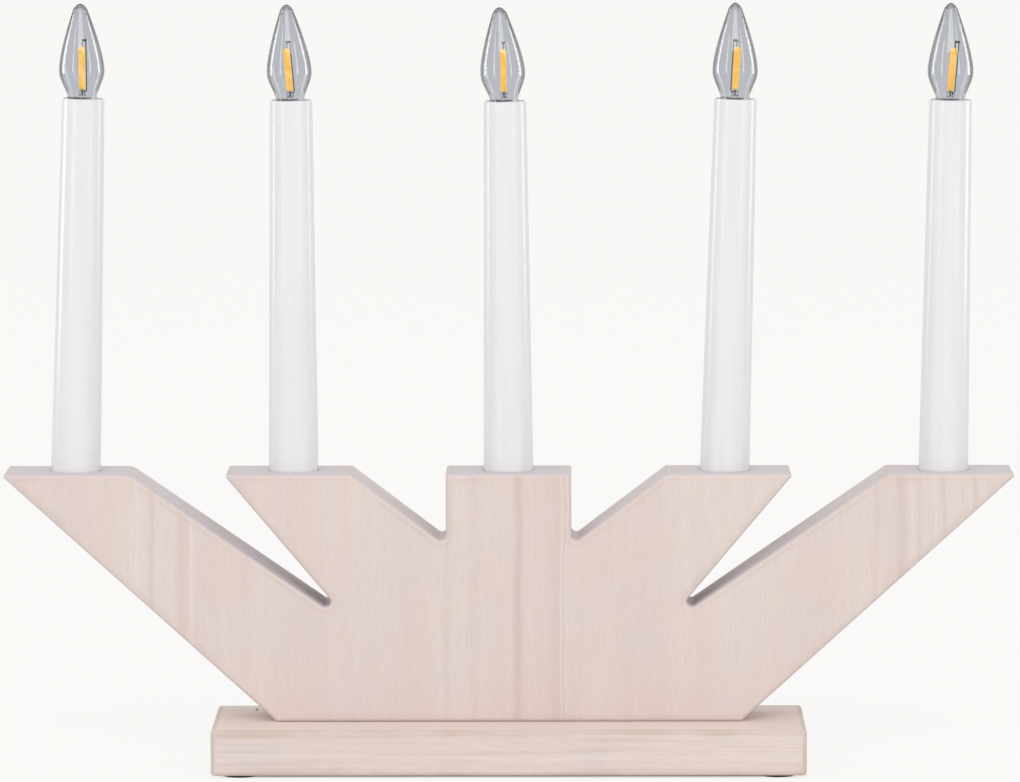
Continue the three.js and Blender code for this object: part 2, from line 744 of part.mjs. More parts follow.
// Glass stem, filament stick, and the wire and cross piece that hold the stick's top end
function filamentMount() {
  const stemFoot = glassNeckBottom;
  const stemBody = turned([
    [0, stemFoot],
    [glassNeckRadius - glass.wall - gap, stemFoot],
    [glassNeckRadius - glass.wall - gap, stemFoot + stem.footHeight],
    [stem.radius, stemFoot + 2 * stem.footHeight],
    [stem.radius, stem.beadHeight - stem.beadRadius],
    [stem.beadRadius, stem.beadHeight],
    [0, stem.top],
  ], facets.small);
  const stickFoot = stick.bottom - stem.radius;
  const stickBody = new THREE.BoxGeometry(stick.width, stick.thickness, stick.top - stickFoot);
  stickBody.translate(0, 0, (stick.top + stickFoot) / 2);
  const hangerWire = uprightBar(
    hanger.offset, 0, stem.beadHeight, hanger.crossHeight, hanger.radius, facets.wire,
  );
  const footLength = hanger.offset + hanger.radius;
  const hangerFoot = new THREE.BoxGeometry(footLength, hanger.radius * 2, hanger.radius * 2);
  hangerFoot.translate(footLength / 2, 0, stem.beadHeight);
  const crossLength = hanger.offset + hanger.radius - hanger.crossInner;
  const cross = new THREE.BoxGeometry(crossLength, hanger.crossThickness, hanger.crossThickness);
  cross.translate(hanger.crossInner + crossLength / 2, 0, hanger.crossHeight);
  const linkX = hanger.crossInner + hanger.radius;
  const linkFoot = stick.top - hanger.crossThickness;
  const link = uprightBar(linkX, 0, linkFoot, hanger.crossHeight, hanger.radius, facets.wire);
  return joined([stemBody, stickBody, hangerWire, hangerFoot, cross, link]);
}

// Points of a wire from inside its lamp holder, down the tube and the slanted hole, into the groove.
// lane is -1 or 1: which of the candle's two wires it is, counted from -X to +X.
function wireDown(candle, lane) {
  const start = grooveStart(candle);
  const end = grooveEnd(candle);
  const across = new THREE.Vector2().subVectors(start, end).normalize();
  across.rotateAround(new THREE.Vector2(), -Math.PI / 2).multiplyScalar(lane * wire.laneOffset);
  const x = lane * wire.pairOffset;
  const top = candle.raised + tubeLength + holderFloorTop - 2 * gap;
  const turnPoint = new THREE.Vector2(candle.x, seatFloor + wire.radius).add(across);
  return [
    onCandle(candle, x, top),
    onCandle(candle, x, 2 * wire.bend),
    [turnPoint.x, panelMiddle, turnPoint.y],
    [start.x + across.x, wireDepth, start.y + across.y],
    [end.x + across.x, wireDepth, end.y + across.y],
  ];
}

// From the left lamp of a pair to the right one, by a loop in the wiring pocket
function jumperWire(left, right, loop) {
  const side = Math.sign(left.x + right.x);
  const placed = loop.map(([x, height]) => [side * x, wireDepth, baseTop + height]);
  if (side > 0) placed.reverse();
  return wireAlong([...wireDown(left, 1), ...placed, ...wireDown(right, -1).reverse()]);
}

// From an end lamp down through the base board and into its way of the terminal block
function feedWire(candle) {
  const side = Math.sign(candle.x);
  const wayY = panelMiddle + (side * terminal.wayPitch) / 2;
  const x = side * feedHole.pairOffset;
  return wireAlong([
    ...wireDown(candle, side),
    [side * feedTurn.x, wireDepth, baseTop + feedTurn.height],
    [x, wireDepth, baseTop + feedTurn.height, wire.tightBend],
    [x, wireDepth, inletHeight, wire.tightBend],
    [x, wayY, inletHeight, wire.tightBend],
    [terminal.x - terminal.length / 2 + terminal.wireReach, wayY, inletHeight],
  ]);
}

const group = new THREE.Group();

function add(parent, name, geometry, material, x = 0, y = 0, z = 0) {
  const mesh = new THREE.Mesh(geometry, material);
  mesh.name = name;
  mesh.position.set(x, y, z);
  parent.add(mesh);
  return mesh;
}

function addStand() {
  add(group, 'wood_panel', woodPanel(), limedPine());
  add(group, 'base_board', baseBoard(), limedPine());
  add(group, 'base_cover', baseCover(), hardboard());
  const padX = base.width / 2 - pad.endInset;
  const padY = base.depth / 2 - pad.sideInset;
  add(group, 'foot_pad_front_left', footPad(), blackRubber(), -padX, -padY, pad.height / 2);
  add(group, 'foot_pad_front_right', footPad(), blackRubber(), padX, -padY, pad.height / 2);
  add(group, 'foot_pad_rear_left', footPad(), blackRubber(), -padX, padY, pad.height / 2);
  add(group, 'foot_pad_rear_right', footPad(), blackRubber(), padX, padY, pad.height / 2);
  for (const [side, name] of [[-1, 'left'], [1, 'right']]) {
    const panelX = side * panelScrew.x;
    const coverX = side * coverScrewX;
    add(group, `panel_screw_${name}`, woodScrew(panelScrew), zincSteel(), panelX, panelMiddle, coverBottom);
    add(group, `cover_screw_${name}`, woodScrew(coverScrew), zincSteel(), coverX, coverScrewY, coverBottom);
  }
  add(group, 'terminal_block', terminalBlock(), whitePlastic());
  add(group, 'cord_inlet_bush', inletBush(), whitePlastic(), inlet.x, pocket.back, inletHeight);
}

function addCandle(candle, number) {
  const frame = candleFrame(candle);
  group.add(frame);
  const rim = candle.raised + tubeLength;
  add(frame, `candle_tube_${number}`, candleTube(), whitePlastic(), 0, 0, candle.raised);
  add(frame, `lamp_holder_${number}`, lampHolder(), whitePlastic(), 0, 0, rim);
  add(frame, `centre_contact_${number}`, centreContact(), brass(), 0, 0, rim);
  const lamp = new THREE.Group();
  lamp.position.z = rim + shellMiddle;
  lamp.rotation.y = candle.lampLean * degree;
  frame.add(lamp);
  const lampRim = -shellMiddle;
  add(lamp, `socket_shell_${number}`, socketShell(), brass(), 0, 0, lampRim);
  add(lamp, `bulb_cap_${number}`, lampCap(), tin(), 0, 0, lampRim);
  add(lamp, `bulb_tip_${number}`, solderTip(), tin(), 0, 0, lampRim);
  add(lamp, `bulb_glass_${number}`, lampGlass(glass.height + candle.glassOver), clearGlass(), 0, 0, lampRim);
  const mount = add(lamp, `filament_mount_${number}`, filamentMount(), amberCoating(), 0, 0, lampRim);
  mount.rotation.z = candle.filamentTurn * degree;
}

function addWires() {
  const [one, two, three, four, five] = candles;
  add(group, 'feed_wire_left', feedWire(one), whiteInsulation());
  add(group, 'jumper_wire_1_2', jumperWire(one, two, outerLoop), whiteInsulation());
  add(group, 'jumper_wire_2_3', jumperWire(two, three, innerLoop), whiteInsulation());
  add(group, 'jumper_wire_3_4', jumperWire(three, four, innerLoop), whiteInsulation());
  add(group, 'jumper_wire_4_5', jumperWire(four, five, outerLoop), whiteInsulation());
  add(group, 'feed_wire_right', feedWire(five), whiteInsulation());
}

addStand();
candles.forEach((candle, i) => addCandle(candle, i + 1));
addWires();

export default group;
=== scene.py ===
# %% [markdown]
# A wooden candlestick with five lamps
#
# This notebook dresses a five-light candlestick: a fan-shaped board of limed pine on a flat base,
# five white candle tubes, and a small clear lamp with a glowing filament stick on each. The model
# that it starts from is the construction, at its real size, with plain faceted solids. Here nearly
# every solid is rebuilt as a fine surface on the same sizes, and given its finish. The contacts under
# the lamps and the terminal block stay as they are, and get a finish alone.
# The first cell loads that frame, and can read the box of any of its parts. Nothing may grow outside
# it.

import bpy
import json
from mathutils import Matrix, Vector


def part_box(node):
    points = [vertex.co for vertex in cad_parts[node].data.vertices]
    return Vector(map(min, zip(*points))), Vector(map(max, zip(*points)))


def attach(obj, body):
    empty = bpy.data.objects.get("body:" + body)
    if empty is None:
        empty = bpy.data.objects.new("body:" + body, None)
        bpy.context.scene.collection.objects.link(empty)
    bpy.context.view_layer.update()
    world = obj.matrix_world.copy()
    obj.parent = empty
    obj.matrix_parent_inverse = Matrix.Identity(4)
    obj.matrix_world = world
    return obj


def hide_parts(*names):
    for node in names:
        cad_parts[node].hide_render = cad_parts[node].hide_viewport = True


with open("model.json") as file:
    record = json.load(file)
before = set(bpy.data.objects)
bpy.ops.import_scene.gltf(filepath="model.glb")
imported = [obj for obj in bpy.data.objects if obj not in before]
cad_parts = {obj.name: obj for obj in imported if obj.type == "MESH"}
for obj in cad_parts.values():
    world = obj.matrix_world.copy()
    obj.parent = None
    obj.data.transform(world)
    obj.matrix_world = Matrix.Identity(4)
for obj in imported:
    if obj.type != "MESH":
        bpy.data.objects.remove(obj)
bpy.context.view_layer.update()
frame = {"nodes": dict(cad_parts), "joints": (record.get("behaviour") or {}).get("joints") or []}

import json
import math

import bmesh
import bpy
import numpy as np
from mathutils import Matrix, Vector
from mathutils.geometry import delaunay_2d_cdt

MM = 0.001

# %% [markdown]
# Where things are
#
# A place that can be read from the frame is read from it: the boards' corners are boxes of nodes,
# and each lamp's place and lean come from the joint that it unscrews on. The tubes lean a little
# too, and not quite as their lamps do. Sizes inside a piece, such as a wall or the radius of an
# eased edge, are named values in millimetres.

# %% Places of the boards


def box_mm(node):
    """Lowest and highest corner of a node of the frame, in millimetres."""
    low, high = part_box(node)
    return np.array(low) / MM, np.array(high) / MM


base_low, base_high = box_mm("base_board")
panel_low, panel_high = box_mm("wood_panel")
base_top = base_high[2]
panel_front, panel_back = panel_low[1], panel_high[1]
panel_top = panel_high[2]
panel_middle = (panel_front + panel_back) / 2
print("base", base_low.round(2), base_high.round(2))
print("panel", panel_low.round(2), panel_high.round(2))

# %% Places of the candles
SEAT_DEPTH = 11.0
TUBE_LENGTH = 141.0
CANDLES = range(1, 6)
TUBE_LEAN = {1: 1.6, 2: -0.1, 3: -0.4, 4: 1.6, 5: 0.9}
TUBE_RAISED = {1: 1.2, 2: 0.4, 3: 0.0, 4: 0.7, 5: 0.2}
PIVOT_UNDER_RIM = 6.0675
seat_floor = panel_top - SEAT_DEPTH


def lamp_frame(number):
    """Pivot point and lean of a lamp, from the hinge that it unscrews on."""
    joint = next(j for j in frame["joints"] if j["name"] == f"bulb_{number}_turn")
    axis = joint["axis"]
    return np.array(joint["pos_m"]) / MM, math.atan2(axis[0], axis[2])


def candle_frame(number):
    """Seat point and lean of a tube: its own axis, followed down from the lamp's pivot."""
    pivot, _ = lamp_frame(number)
    lean = math.radians(TUBE_LEAN[number])
    up = np.array([math.sin(lean), 0, math.cos(lean)])
    return pivot - up * (TUBE_RAISED[number] + TUBE_LENGTH - PIVOT_UNDER_RIM), lean


lamp_places = {number: lamp_frame(number) for number in CANDLES}
candle_places = {number: candle_frame(number) for number in CANDLES}
for number, (seat, lean) in candle_places.items():
    askew = math.degrees(lamp_places[number][1] - lean)
    print(f"candle {number}: seat {seat.round(2)}, lean {math.degrees(lean):.1f}, lamp {askew:.1f} degrees")

# %% [markdown]
# Surfaces from arrays
#
# Almost every piece here is a surface of two parameters: a turned part is a profile carried round
# an axis, and a wire is a circle carried along a path. Blender could turn them with its Spin tool
# or with curve objects, but an array holds the same idea in one formula, and all points are worked
# out at once. The helpers below number the faces of such a grid and hand it to a mesh.

# %% Grids of quads
MERGE = 1e-6
SHARP_ANGLE = math.radians(38)


def grid_faces(rows, columns, closed_rows=False, closed_columns=False):
    """Quads of a grid numbered row by row. A closed direction joins its last line to its first."""
    i = np.arange(rows if closed_rows else rows - 1)[:, None]
    j = np.arange(columns if closed_columns else columns - 1)[None, :]
    below, beside = (i + 1) % rows, (j + 1) % columns
    corners = [i * columns + j, below * columns + j, below * columns + beside, i * columns + beside]
    return np.stack(np.broadcast_arrays(*corners), axis=-1).reshape(-1, 4)


def new_piece(name, points, faces):
    """A mesh object at the origin from points in millimetres: doubles merged, faces pointing out."""
    mesh = bpy.data.meshes.new(name)
    mesh.from_pydata((np.asarray(points) * MM).tolist(), [], [list(face) for face in faces])
    work = bmesh.new()
    work.from_mesh(mesh)
    bmesh.ops.remove_doubles(work, verts=work.verts, dist=MERGE)
    bmesh.ops.recalc_face_normals(work, faces=work.faces)
    work.to_mesh(mesh)
    work.free()
    piece = bpy.data.objects.new(name, mesh)
    bpy.context.scene.collection.objects.link(piece)
    return piece


def shade(piece):
    """Smooth shading, with edges sharper than the sharp angle kept crisp."""
    piece.data.polygons.foreach_set("use_smooth", np.ones(len(piece.data.polygons), bool))
    piece.data.set_sharp_from_angle(angle=SHARP_ANGLE)
    return piece


def corners_of(piece):
    """The piece's points as an array, in millimetres."""
    co = np.zeros(len(piece.data.vertices) * 3, np.float32)
    piece.data.vertices.foreach_get("co", co)
    return co.reshape(-1, 3).astype(float) / MM


def move_corners(piece, points):
    """Moves the piece's points to an array of places in millimetres."""
    piece.data.vertices.foreach_set("co", (points * MM).astype(np.float32).ravel())
    piece.data.update()
    return piece


def keep(piece, name, values):
    """Stores one value for each point as an attribute that a material can read."""
    attribute = piece.data.attributes.new(name, "FLOAT", "POINT")
    attribute.data.foreach_set("value", values.astype(np.float32))
    return piece


# %% Rounded outlines
ARC_STEP = math.radians(11)


def fillet(corners, support=0.0):
    """A closed outline with an arc in each corner (x, y, radius).

    The heading turns evenly from the incoming side to the outgoing one. A point of the arc lies one
    radius to the side of the arc's centre, square to its heading. Support points stand a little
    before and after each arc, to keep the shading flat.
    """
    corners = np.asarray(corners, float)
    spots, radii = corners[:, :2], corners[:, 2]
    incoming = spots - np.roll(spots, 1, axis=0)
    heading = np.arctan2(incoming[:, 1], incoming[:, 0])
    turns = (np.roll(heading, -1) - heading + math.pi) % (2 * math.pi) - math.pi
    points = []
    for spot, radius, start, turn in zip(spots, radii, heading, turns):
        steps = max(2, math.ceil(abs(turn) / ARC_STEP)) if radius > 0 else 0
        share = np.linspace(0, 1, steps + 1) if steps else np.array([0.5])
        angle = start + turn * share
        left = np.stack([-np.sin(angle), np.cos(angle)], axis=1)
        ahead = np.array([math.cos(start), math.sin(start)])
        centre = spot - radius * math.tan(abs(turn) / 2) * ahead + math.copysign(radius, turn) * left[0]
        arc = centre - math.copysign(radius, turn) * left
        if support and steps:
            leaving = np.array([math.cos(start + turn), math.sin(start + turn)])
            arc = np.vstack([arc[0] - support * ahead, arc, arc[-1] + support * leaving])
        points.append(arc if steps else spot[None, :])
    return np.vstack(points)


def rectangle(x_low, x_high, y_low, y_high, radius):
    """Corners of an upright rectangle with one radius, anticlockwise."""
    return [
        (x_low, y_low, radius),
        (x_high, y_low, radius),
        (x_high, y_high, radius),
        (x_low, y_high, radius),
    ]


print("a full turn has", math.ceil(2 * math.pi / ARC_STEP), "steps in an arc")

# %% Turned parts and swept tubes
SWEEP_REFERENCE = np.array([0.36, 0.87, 0.33])
BEHIND_AXIS = -10


def revolve(profile, sides):
    """Each profile point (r, h) goes round the axis: x = r cos t, y = r sin t, z = h."""
    profile = np.asarray(profile, float)
    angle = np.arange(sides) / sides * 2 * math.pi
    radius, height = profile[:, :1], profile[:, 1:]
    return np.stack([radius * np.cos(angle), radius * np.sin(angle), height + 0 * angle], axis=-1)


def ring_turned(name, corners, sides, place=lambda points: points):
    """A turned piece whose closed profile of (radius, height, fillet) corners stays off the axis."""
    profile = fillet(corners)
    points = revolve(profile, sides)
    faces = grid_faces(len(profile), sides, closed_rows=True, closed_columns=True)
    return shade(new_piece(name, place(points.reshape(-1, 3)), faces))


def solid_turned(name, profile, sides, place=lambda points: points):
    """A turned piece whose open profile begins and ends on the axis, where its rows close to poles."""
    points = revolve(profile, sides)
    faces = grid_faces(len(profile), sides, closed_columns=True)
    return shade(new_piece(name, place(points.reshape(-1, 3)), faces))


def rounded_profile(corners):
    """An open profile on the axis, each corner (radius, height, fillet) between its ends rounded.

    It is closed by two corners behind the axis, which are left off again.
    """
    closed = fillet([*corners, (BEHIND_AXIS, corners[-1][1], 0), (BEHIND_AXIS, corners[0][1], 0)])
    return closed[closed[:, 0] > BEHIND_AXIS / 2]


def swept(path, radius, sides):
    """A circle carried along a path: point = path + radius (cos t side + sin t up).

    side is square to the path's direction and to one fixed reference, and up is square to both.
    """
    path = np.asarray(path, float)
    ahead = np.gradient(path, axis=0)
    ahead /= np.linalg.norm(ahead, axis=1, keepdims=True)
    side = np.cross(ahead, SWEEP_REFERENCE)
    side /= np.linalg.norm(side, axis=1, keepdims=True)
    up = np.cross(side, ahead)
    angle = (np.arange(sides) / sides * 2 * math.pi)[None, :, None]
    return path[:, None] + radius * (np.cos(angle) * side[:, None] + np.sin(angle) * up[:, None])


def tube_piece(name, path, radius, sides, place=lambda points: points):
    """A swept tube with flat ends, each end one face."""
    points = swept(path, radius, sides)
    faces = [tuple(face) for face in grid_faces(len(path), sides, closed_columns=True)]
    last = (len(path) - 1) * sides
    ends = [tuple(range(sides)), tuple(range(last, last + sides))]
    return shade(new_piece(name, place(points.reshape(-1, 3)), faces + ends))


print("profiles end on the axis, and cross it to", BEHIND_AXIS, "mm while they are rounded")

# %% Places on a candle


def placed(place, height, turn, lean):
    """A function that turns points about Z, raises them, leans them about Y and moves them."""
    moved = (
        Matrix.Translation(Vector(place))
        @ Matrix.Rotation(lean, 4, "Y")
        @ Matrix.Translation((0, 0, height))
        @ Matrix.Rotation(turn, 4, "Z")
    )
    matrix = np.array(moved)
    return lambda points: points @ matrix[:3, :3].T + matrix[:3, 3]


def on_seat(number, height=0.0):
    """Onto a tube's axis, from a height over the floor of its seat."""
    seat, lean = candle_places[number]
    return placed(seat, height, 0, lean)


def on_tube(number, height=0.0):
    """Onto a tube's axis, from a height over the tube's own foot line."""
    return on_seat(number, TUBE_RAISED[number] + height)


def on_lamp(number, turn=0.0):
    """Onto a lamp's axis, with height 0 at the rim of its tube."""
    pivot, lean = lamp_places[number]
    return placed(pivot, PIVOT_UNDER_RIM, turn, lean)


print("rim of the first tube:", on_tube(1, TUBE_LENGTH)(np.zeros(3)).round(2))

# %% [markdown]
# Finishes as small recipes
#
# A finish is a few patterns mixed into the inputs of one shader. Noise is stretched by the size of
# the feature that it stands for: a wood fibre is half a millimetre across and six millimetres long,
# so its noise is scaled by one over these lengths. All patterns sit on object coordinates, so they
# stay on the piece when it moves. Values that are the same all over go straight to the shader.

# %% Recipe helper


def tone(red, green, blue):
    """A screen colour from 0 to 255 as the linear colour that a shader takes."""
    screen = np.array([red, green, blue]) / 255
    linear = np.where(screen <= 0.04045, screen / 12.92, ((screen + 0.055) / 1.055) ** 2.4)
    return (*linear.tolist(), 1.0)


class Recipe:
    """One material: its Principled shader, and short calls for the nodes that feed it."""

    def __init__(self, name, **values):
        self.material = bpy.data.materials.new(name)
        self.material.use_nodes = True
        self.tree = self.material.node_tree
        self.shader = self.tree.nodes["Principled BSDF"]
        self.coordinates = self.node("ShaderNodeTexCoord")
        for socket, value in values.items():
            self.shader.inputs[socket.replace("_", " ")].default_value = value

    def node(self, kind, **settings):
        """A new node of a kind, with its settings."""
        made = self.tree.nodes.new(kind)
        for key, value in settings.items():
            setattr(made, key, value)
        return made

    def feed(self, source, target):
        """Links a socket, or sets a plain value or colour."""
        if isinstance(source, bpy.types.NodeSocket):
            self.tree.links.new(source, target)
        else:
            target.default_value = source

    def into(self, name, source):
        """Feeds an input of the shader."""
        self.feed(source, self.shader.inputs[name])

    def noise(self, size, detail=2.0, roughness=0.5, offset=(0, 0, 0)):
        """Noise from 0 to 1 whose features are as large as size says, in millimetres along X, Y, Z."""
        mapping = self.node("ShaderNodeMapping")
        mapping.inputs["Scale"].default_value = [1 / (edge * MM) for edge in size]
        mapping.inputs["Location"].default_value = offset
        self.feed(self.coordinates.outputs["Object"], mapping.inputs["Vector"])
        noise = self.node("ShaderNodeTexNoise")
        noise.inputs["Scale"].default_value = 1.0
        noise.inputs["Detail"].default_value = detail
        noise.inputs["Roughness"].default_value = roughness
        self.feed(mapping.outputs["Vector"], noise.inputs["Vector"])
        return noise.outputs["Fac"]

    def ramp(self, value, low, high, start=0.0, end=1.0):
        """A smooth step from start to end while the value goes from low to high."""
        step = self.node("ShaderNodeMapRange", interpolation_type="SMOOTHSTEP")
        for name, source in (
            ("Value", value),
            ("From Min", low),
            ("From Max", high),
            ("To Min", start),
            ("To Max", end),
        ):
            self.feed(source, step.inputs[name])
        return step.outputs["Result"]

    def math(self, operation, first, second=0.0):
        """One sum of two values, or of one where the operation needs no more."""
        sum_node = self.node("ShaderNodeMath", operation=operation)
        self.feed(first, sum_node.inputs[0])
        self.feed(second, sum_node.inputs[1])
        return sum_node.outputs[0]

    def swing(self, pattern, reach):
        """A pattern from 0 to 1 as a value that swings evenly about 0, over the reach in all."""
        return self.math("MULTIPLY", self.math("SUBTRACT", pattern, 0.5), reach)

    def mix(self, share, first, second):
        """First colour at share 0, second at share 1."""
        mixer = self.node("ShaderNodeMix", data_type="RGBA")
        self.feed(share, mixer.inputs[0])
        self.feed(first, mixer.inputs[6])
        self.feed(second, mixer.inputs[7])
        return mixer.outputs[2]

    def bump(self, height, depth, strength=1.0):
        """Bump of a height pattern, with its depth in millimetres."""
        bump = self.node("ShaderNodeBump")
        bump.inputs["Strength"].default_value = strength
        bump.inputs["Distance"].default_value = depth * MM
        self.feed(height, bump.inputs["Height"])
        self.into("Normal", bump.outputs["Normal"])

    def along(self, axis, source="Object"):
        """One coordinate of the object's own space, in metres, or of its normal."""
        split = self.node("ShaderNodeSeparateXYZ")
        self.feed(self.coordinates.outputs[source], split.inputs[0])
        return split.outputs[axis]


def finish(piece, material):
    """Gives a piece its one material."""
    piece.data.materials.clear()
    piece.data.materials.append(material)
    return piece


def stand_for(piece, body, slot, material, *nodes):
    """The usual end of a piece: finish it, let it ride on its body and stand for its nodes."""
    finish(piece, material)
    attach(piece, body)
    if nodes:
        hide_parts(*nodes)
    return piece


print("recipes take lengths in millimetres")

# %% [markdown]
# Limed pine
#
# The boards are pine with a thin pinkish white wash. Five things show on a close look: fine fibres
# and broader streaks along the grain, darker and lighter growth lines, a patchy brownish tide mark a
# millimetre or two beside every edge, where the wash dried last, edges that are a little worn, and
# cooler, greyer end grain on cuts across the fibres. The base's upper face is painted somewhat paler:
# painted light from above.
# A picture of wood would be simpler, but a recipe is sharp at any distance and fits both boards: the
# grain runs up in the panel and along X in the base. The distance to the nearest edge can't be had
# from coordinates, so it is worked out once for all points and kept on the mesh as an attribute.

# %% Wood colours
WASH = tone(224, 210, 205)
PINK = tone(221, 204, 199)
PALE_WASH = tone(229, 215, 210)
PALE_PINK = tone(225, 209, 204)
PEACH = tone(226, 210, 198)
MAUVE = tone(217, 207, 208)
PORE = tone(202, 184, 177)
BAND = tone(210, 189, 184)
LIFTED = tone(236, 225, 220)
TIDE = tone(210, 190, 179)
WORN = tone(214, 194, 183)
END_GRAIN = tone(212, 204, 207)
# Painted light: a paler colour for faces that look up, standing in for light from above.
PAINTED_TOP_LIGHT = tone(243, 226, 216)
DARK_SPOT = tone(92, 72, 64)
for wash in (WASH, PINK, PALE_WASH, PALE_PINK):
    print("wash", np.round(wash[:3], 3))

# %% Wood recipe
UPRIGHT, LENGTHWISE = 2, 0
FIBRE, STREAK, BROAD = (0.42, 6), (2.0, 50), (16, 190)
CLOUD, SWAY, RIPPLE = 24, 60, 9
SWAY_REACH, RIPPLE_REACH, RAGGED_REACH = 3 * MM, 0.9 * MM, 1.6


def stretch(across, length, grain):
    """Size of a feature that is long along the grain's axis."""
    size = [across] * 3
    size[grain] = length
    return size


def line_mask(wood, lines, wander):
    """How much of a growth line (place, half width, depth) lies at each point across the board."""
    total = 0.0
    for place, half_width, depth in lines:
        away = wood.math("ABSOLUTE", wood.math("SUBTRACT", wander, place * MM))
        total = wood.math("ADD", total, wood.ramp(away, half_width * MM, 0.0, 0.0, depth))
    return total


def spot_mask(wood, spots):
    """1 inside each small dark spot: a ball of one radius about x, y, z, drawn out along Y."""
    total = 0.0
    for x, y, z, radius, length in spots:
        size = (radius * MM, length * MM, radius * MM)
        scaled = wood.node("ShaderNodeMapping")
        wood.feed(wood.coordinates.outputs["Object"], scaled.inputs["Vector"])
        scaled.inputs["Scale"].default_value = [1 / edge for edge in size]
        scaled.inputs["Location"].default_value = [-at * MM / edge for at, edge in zip((x, y, z), size)]
        apart = wood.node("ShaderNodeVectorMath", operation="LENGTH")
        wood.feed(scaled.outputs["Vector"], apart.inputs[0])
        total = wood.math("MAXIMUM", total, wood.ramp(apart.outputs["Value"], 1.0, 0.4))
    return total


def limed_pine(name, grain, washes, tide, dark_lines, light_lines, spots, offset, top_light_share=0.0):
    """Washed pine whose fibres run along the axis grain: 0 for X, 2 for Z.

    washes are its two shades, and top_light_share is how far a face that looks up is painted paler,
    as painted light from above. tide is the distance from the edge where the tide mark begins, where
    it ends, and its least and greatest depth. The place across the grain wanders a little, and the
    growth lines follow it.
    """
    across = 2 - grain
    wood = Recipe(name, Roughness=0.62, IOR=1.45)
    wood.shader.inputs["Specular IOR Level"].default_value = 0.4
    fibre = wood.noise(stretch(*FIBRE, grain), detail=3, roughness=0.6, offset=offset)
    streak = wood.noise(stretch(*STREAK, grain), detail=2, offset=offset)
    broad = wood.noise(stretch(*BROAD, grain), detail=1, offset=offset)
    cloud = wood.noise([CLOUD] * 3, detail=2, offset=offset)
    sway = wood.noise([SWAY] * 3, detail=1, offset=offset)
    ripple = wood.noise([RIPPLE] * 3, detail=1, offset=offset)
    swayed = wood.math("ADD", wood.along(across), wood.swing(sway, SWAY_REACH))
    wander = wood.math("ADD", swayed, wood.swing(ripple, RIPPLE_REACH))

    colour = wood.mix(wood.ramp(broad, 0.35, 0.65), *washes)
    colour = wood.mix(wood.ramp(cloud, 0.45, 0.68, 0, 0.5), colour, MAUVE)
    colour = wood.mix(wood.ramp(streak, 0.45, 0.7, 0, 0.28), colour, PEACH)
    colour = wood.mix(line_mask(wood, dark_lines, wander), colour, BAND)
    colour = wood.mix(line_mask(wood, light_lines, wander), colour, LIFTED)
    open_grain = wood.math("MULTIPLY", wood.ramp(broad, 0.6, 0.4, 0.14, 0.3), wood.ramp(fibre, 0.5, 0.72))
    colour = wood.mix(open_grain, colour, PORE)
    colour = wood.mix(wood.ramp(fibre, 0.5, 0.3, 0, 0.18), colour, LIFTED)

    facing = wood.math("ABSOLUTE", wood.along(grain, "Normal"))
    colour = wood.mix(wood.ramp(facing, 0.25, 0.75, 0, 0.85), colour, END_GRAIN)
    # Faces that look up are painted paler here: painted light from above.
    colour = wood.mix(wood.ramp(wood.along(2, "Normal"), 0.5, 0.9, 0, top_light_share), colour, PAINTED_TOP_LIGHT)
    edge = wood.node("ShaderNodeAttribute", attribute_name="edge").outputs["Fac"]
    ragged = wood.math("ADD", edge, wood.swing(streak, RAGGED_REACH))
    begin, last, least, most = tide
    within = wood.ramp(ragged, last, 0.6 * last)
    dried = wood.math("MULTIPLY", wood.ramp(edge, 0.6 * begin, begin), within)
    patchy = wood.math("MULTIPLY", dried, wood.ramp(cloud, 0.38, 0.6, least, most))
    colour = wood.mix(patchy, colour, TIDE)
    colour = wood.mix(wood.ramp(edge, 0.9, 0.2, 0, 0.5), colour, WORN)
    colour = wood.mix(spot_mask(wood, spots), colour, DARK_SPOT)
    wood.into("Base Color", colour)

    wood.into("Roughness", wood.ramp(fibre, 0.35, 0.75, 0.55, 0.72))
    relief = wood.math("ADD", wood.math("MULTIPLY", fibre, 0.6), wood.math("MULTIPLY", streak, 0.4))
    wood.bump(relief, 0.06, 0.5)
    return wood.material


print("growth lines sway by", SWAY_REACH / MM / 2, "mm to either side")

# %% Wood of the two boards
PANEL_DARK = [
    (-125.4, 1.9, 0.5),
    (-114.6, 3.0, 0.5),
    (-22.0, 2.4, 0.25),
    (-12.6, 3.4, 0.22),
    (3.0, 2.5, 0.75),
    (17.0, 4.6, 0.4),
    (128.3, 1.8, 0.35),
    (137.2, 2.6, 0.55),
    (143.4, 1.4, 0.3),
    (151.8, 1.5, 0.35),
    (163.3, 1.8, 0.45),
]
PANEL_LIGHT = [
    (-130.4, 1.6, 0.25),
    (-111.1, 0.9, 0.4),
    (7.4, 0.5, 0.3),
    (18.4, 0.45, 0.55),
    (20.3, 0.35, 0.5),
    (21.6, 0.3, 0.3),
    (140.8, 0.7, 0.4),
    (149.0, 1.4, 0.3),
]
BASE_DARK = [(5.2, 0.9, 0.2), (9.6, 0.7, 0.16), (13.0, 1.0, 0.12)]
BASE_LIGHT = [(7.4, 1.2, 0.2), (15.2, 0.8, 0.3)]
PANEL_TIDE = (1.5, 3.2, 0.08, 0.4)
BASE_TIDE = (0.5, 2.0, 0.5, 1.0)
PANEL_SPOTS = [(173.2, panel_front, 99.6, 0.5, 0.5)]
# A small dark spot on the base's top, near its back at the left end.
BASE_SPOTS = [(-89.8, 19.5, base_top, 0.8, 3.0)]
panel_wood = limed_pine(
    "limed_pine_upright",
    UPRIGHT,
    (WASH, PINK),
    PANEL_TIDE,
    PANEL_DARK,
    PANEL_LIGHT,
    PANEL_SPOTS,
    (0.0, 0.0, 0.0),
)
base_wood = limed_pine(
    "limed_pine_lengthwise",
    LENGTHWISE,
    (PALE_WASH, PALE_PINK),
    BASE_TIDE,
    BASE_DARK,
    BASE_LIGHT,
    BASE_SPOTS,
    (3.0, 7.0, 5.0),
    top_light_share=0.5,
)
print("wood recipes use", len(panel_wood.node_tree.nodes), "nodes")

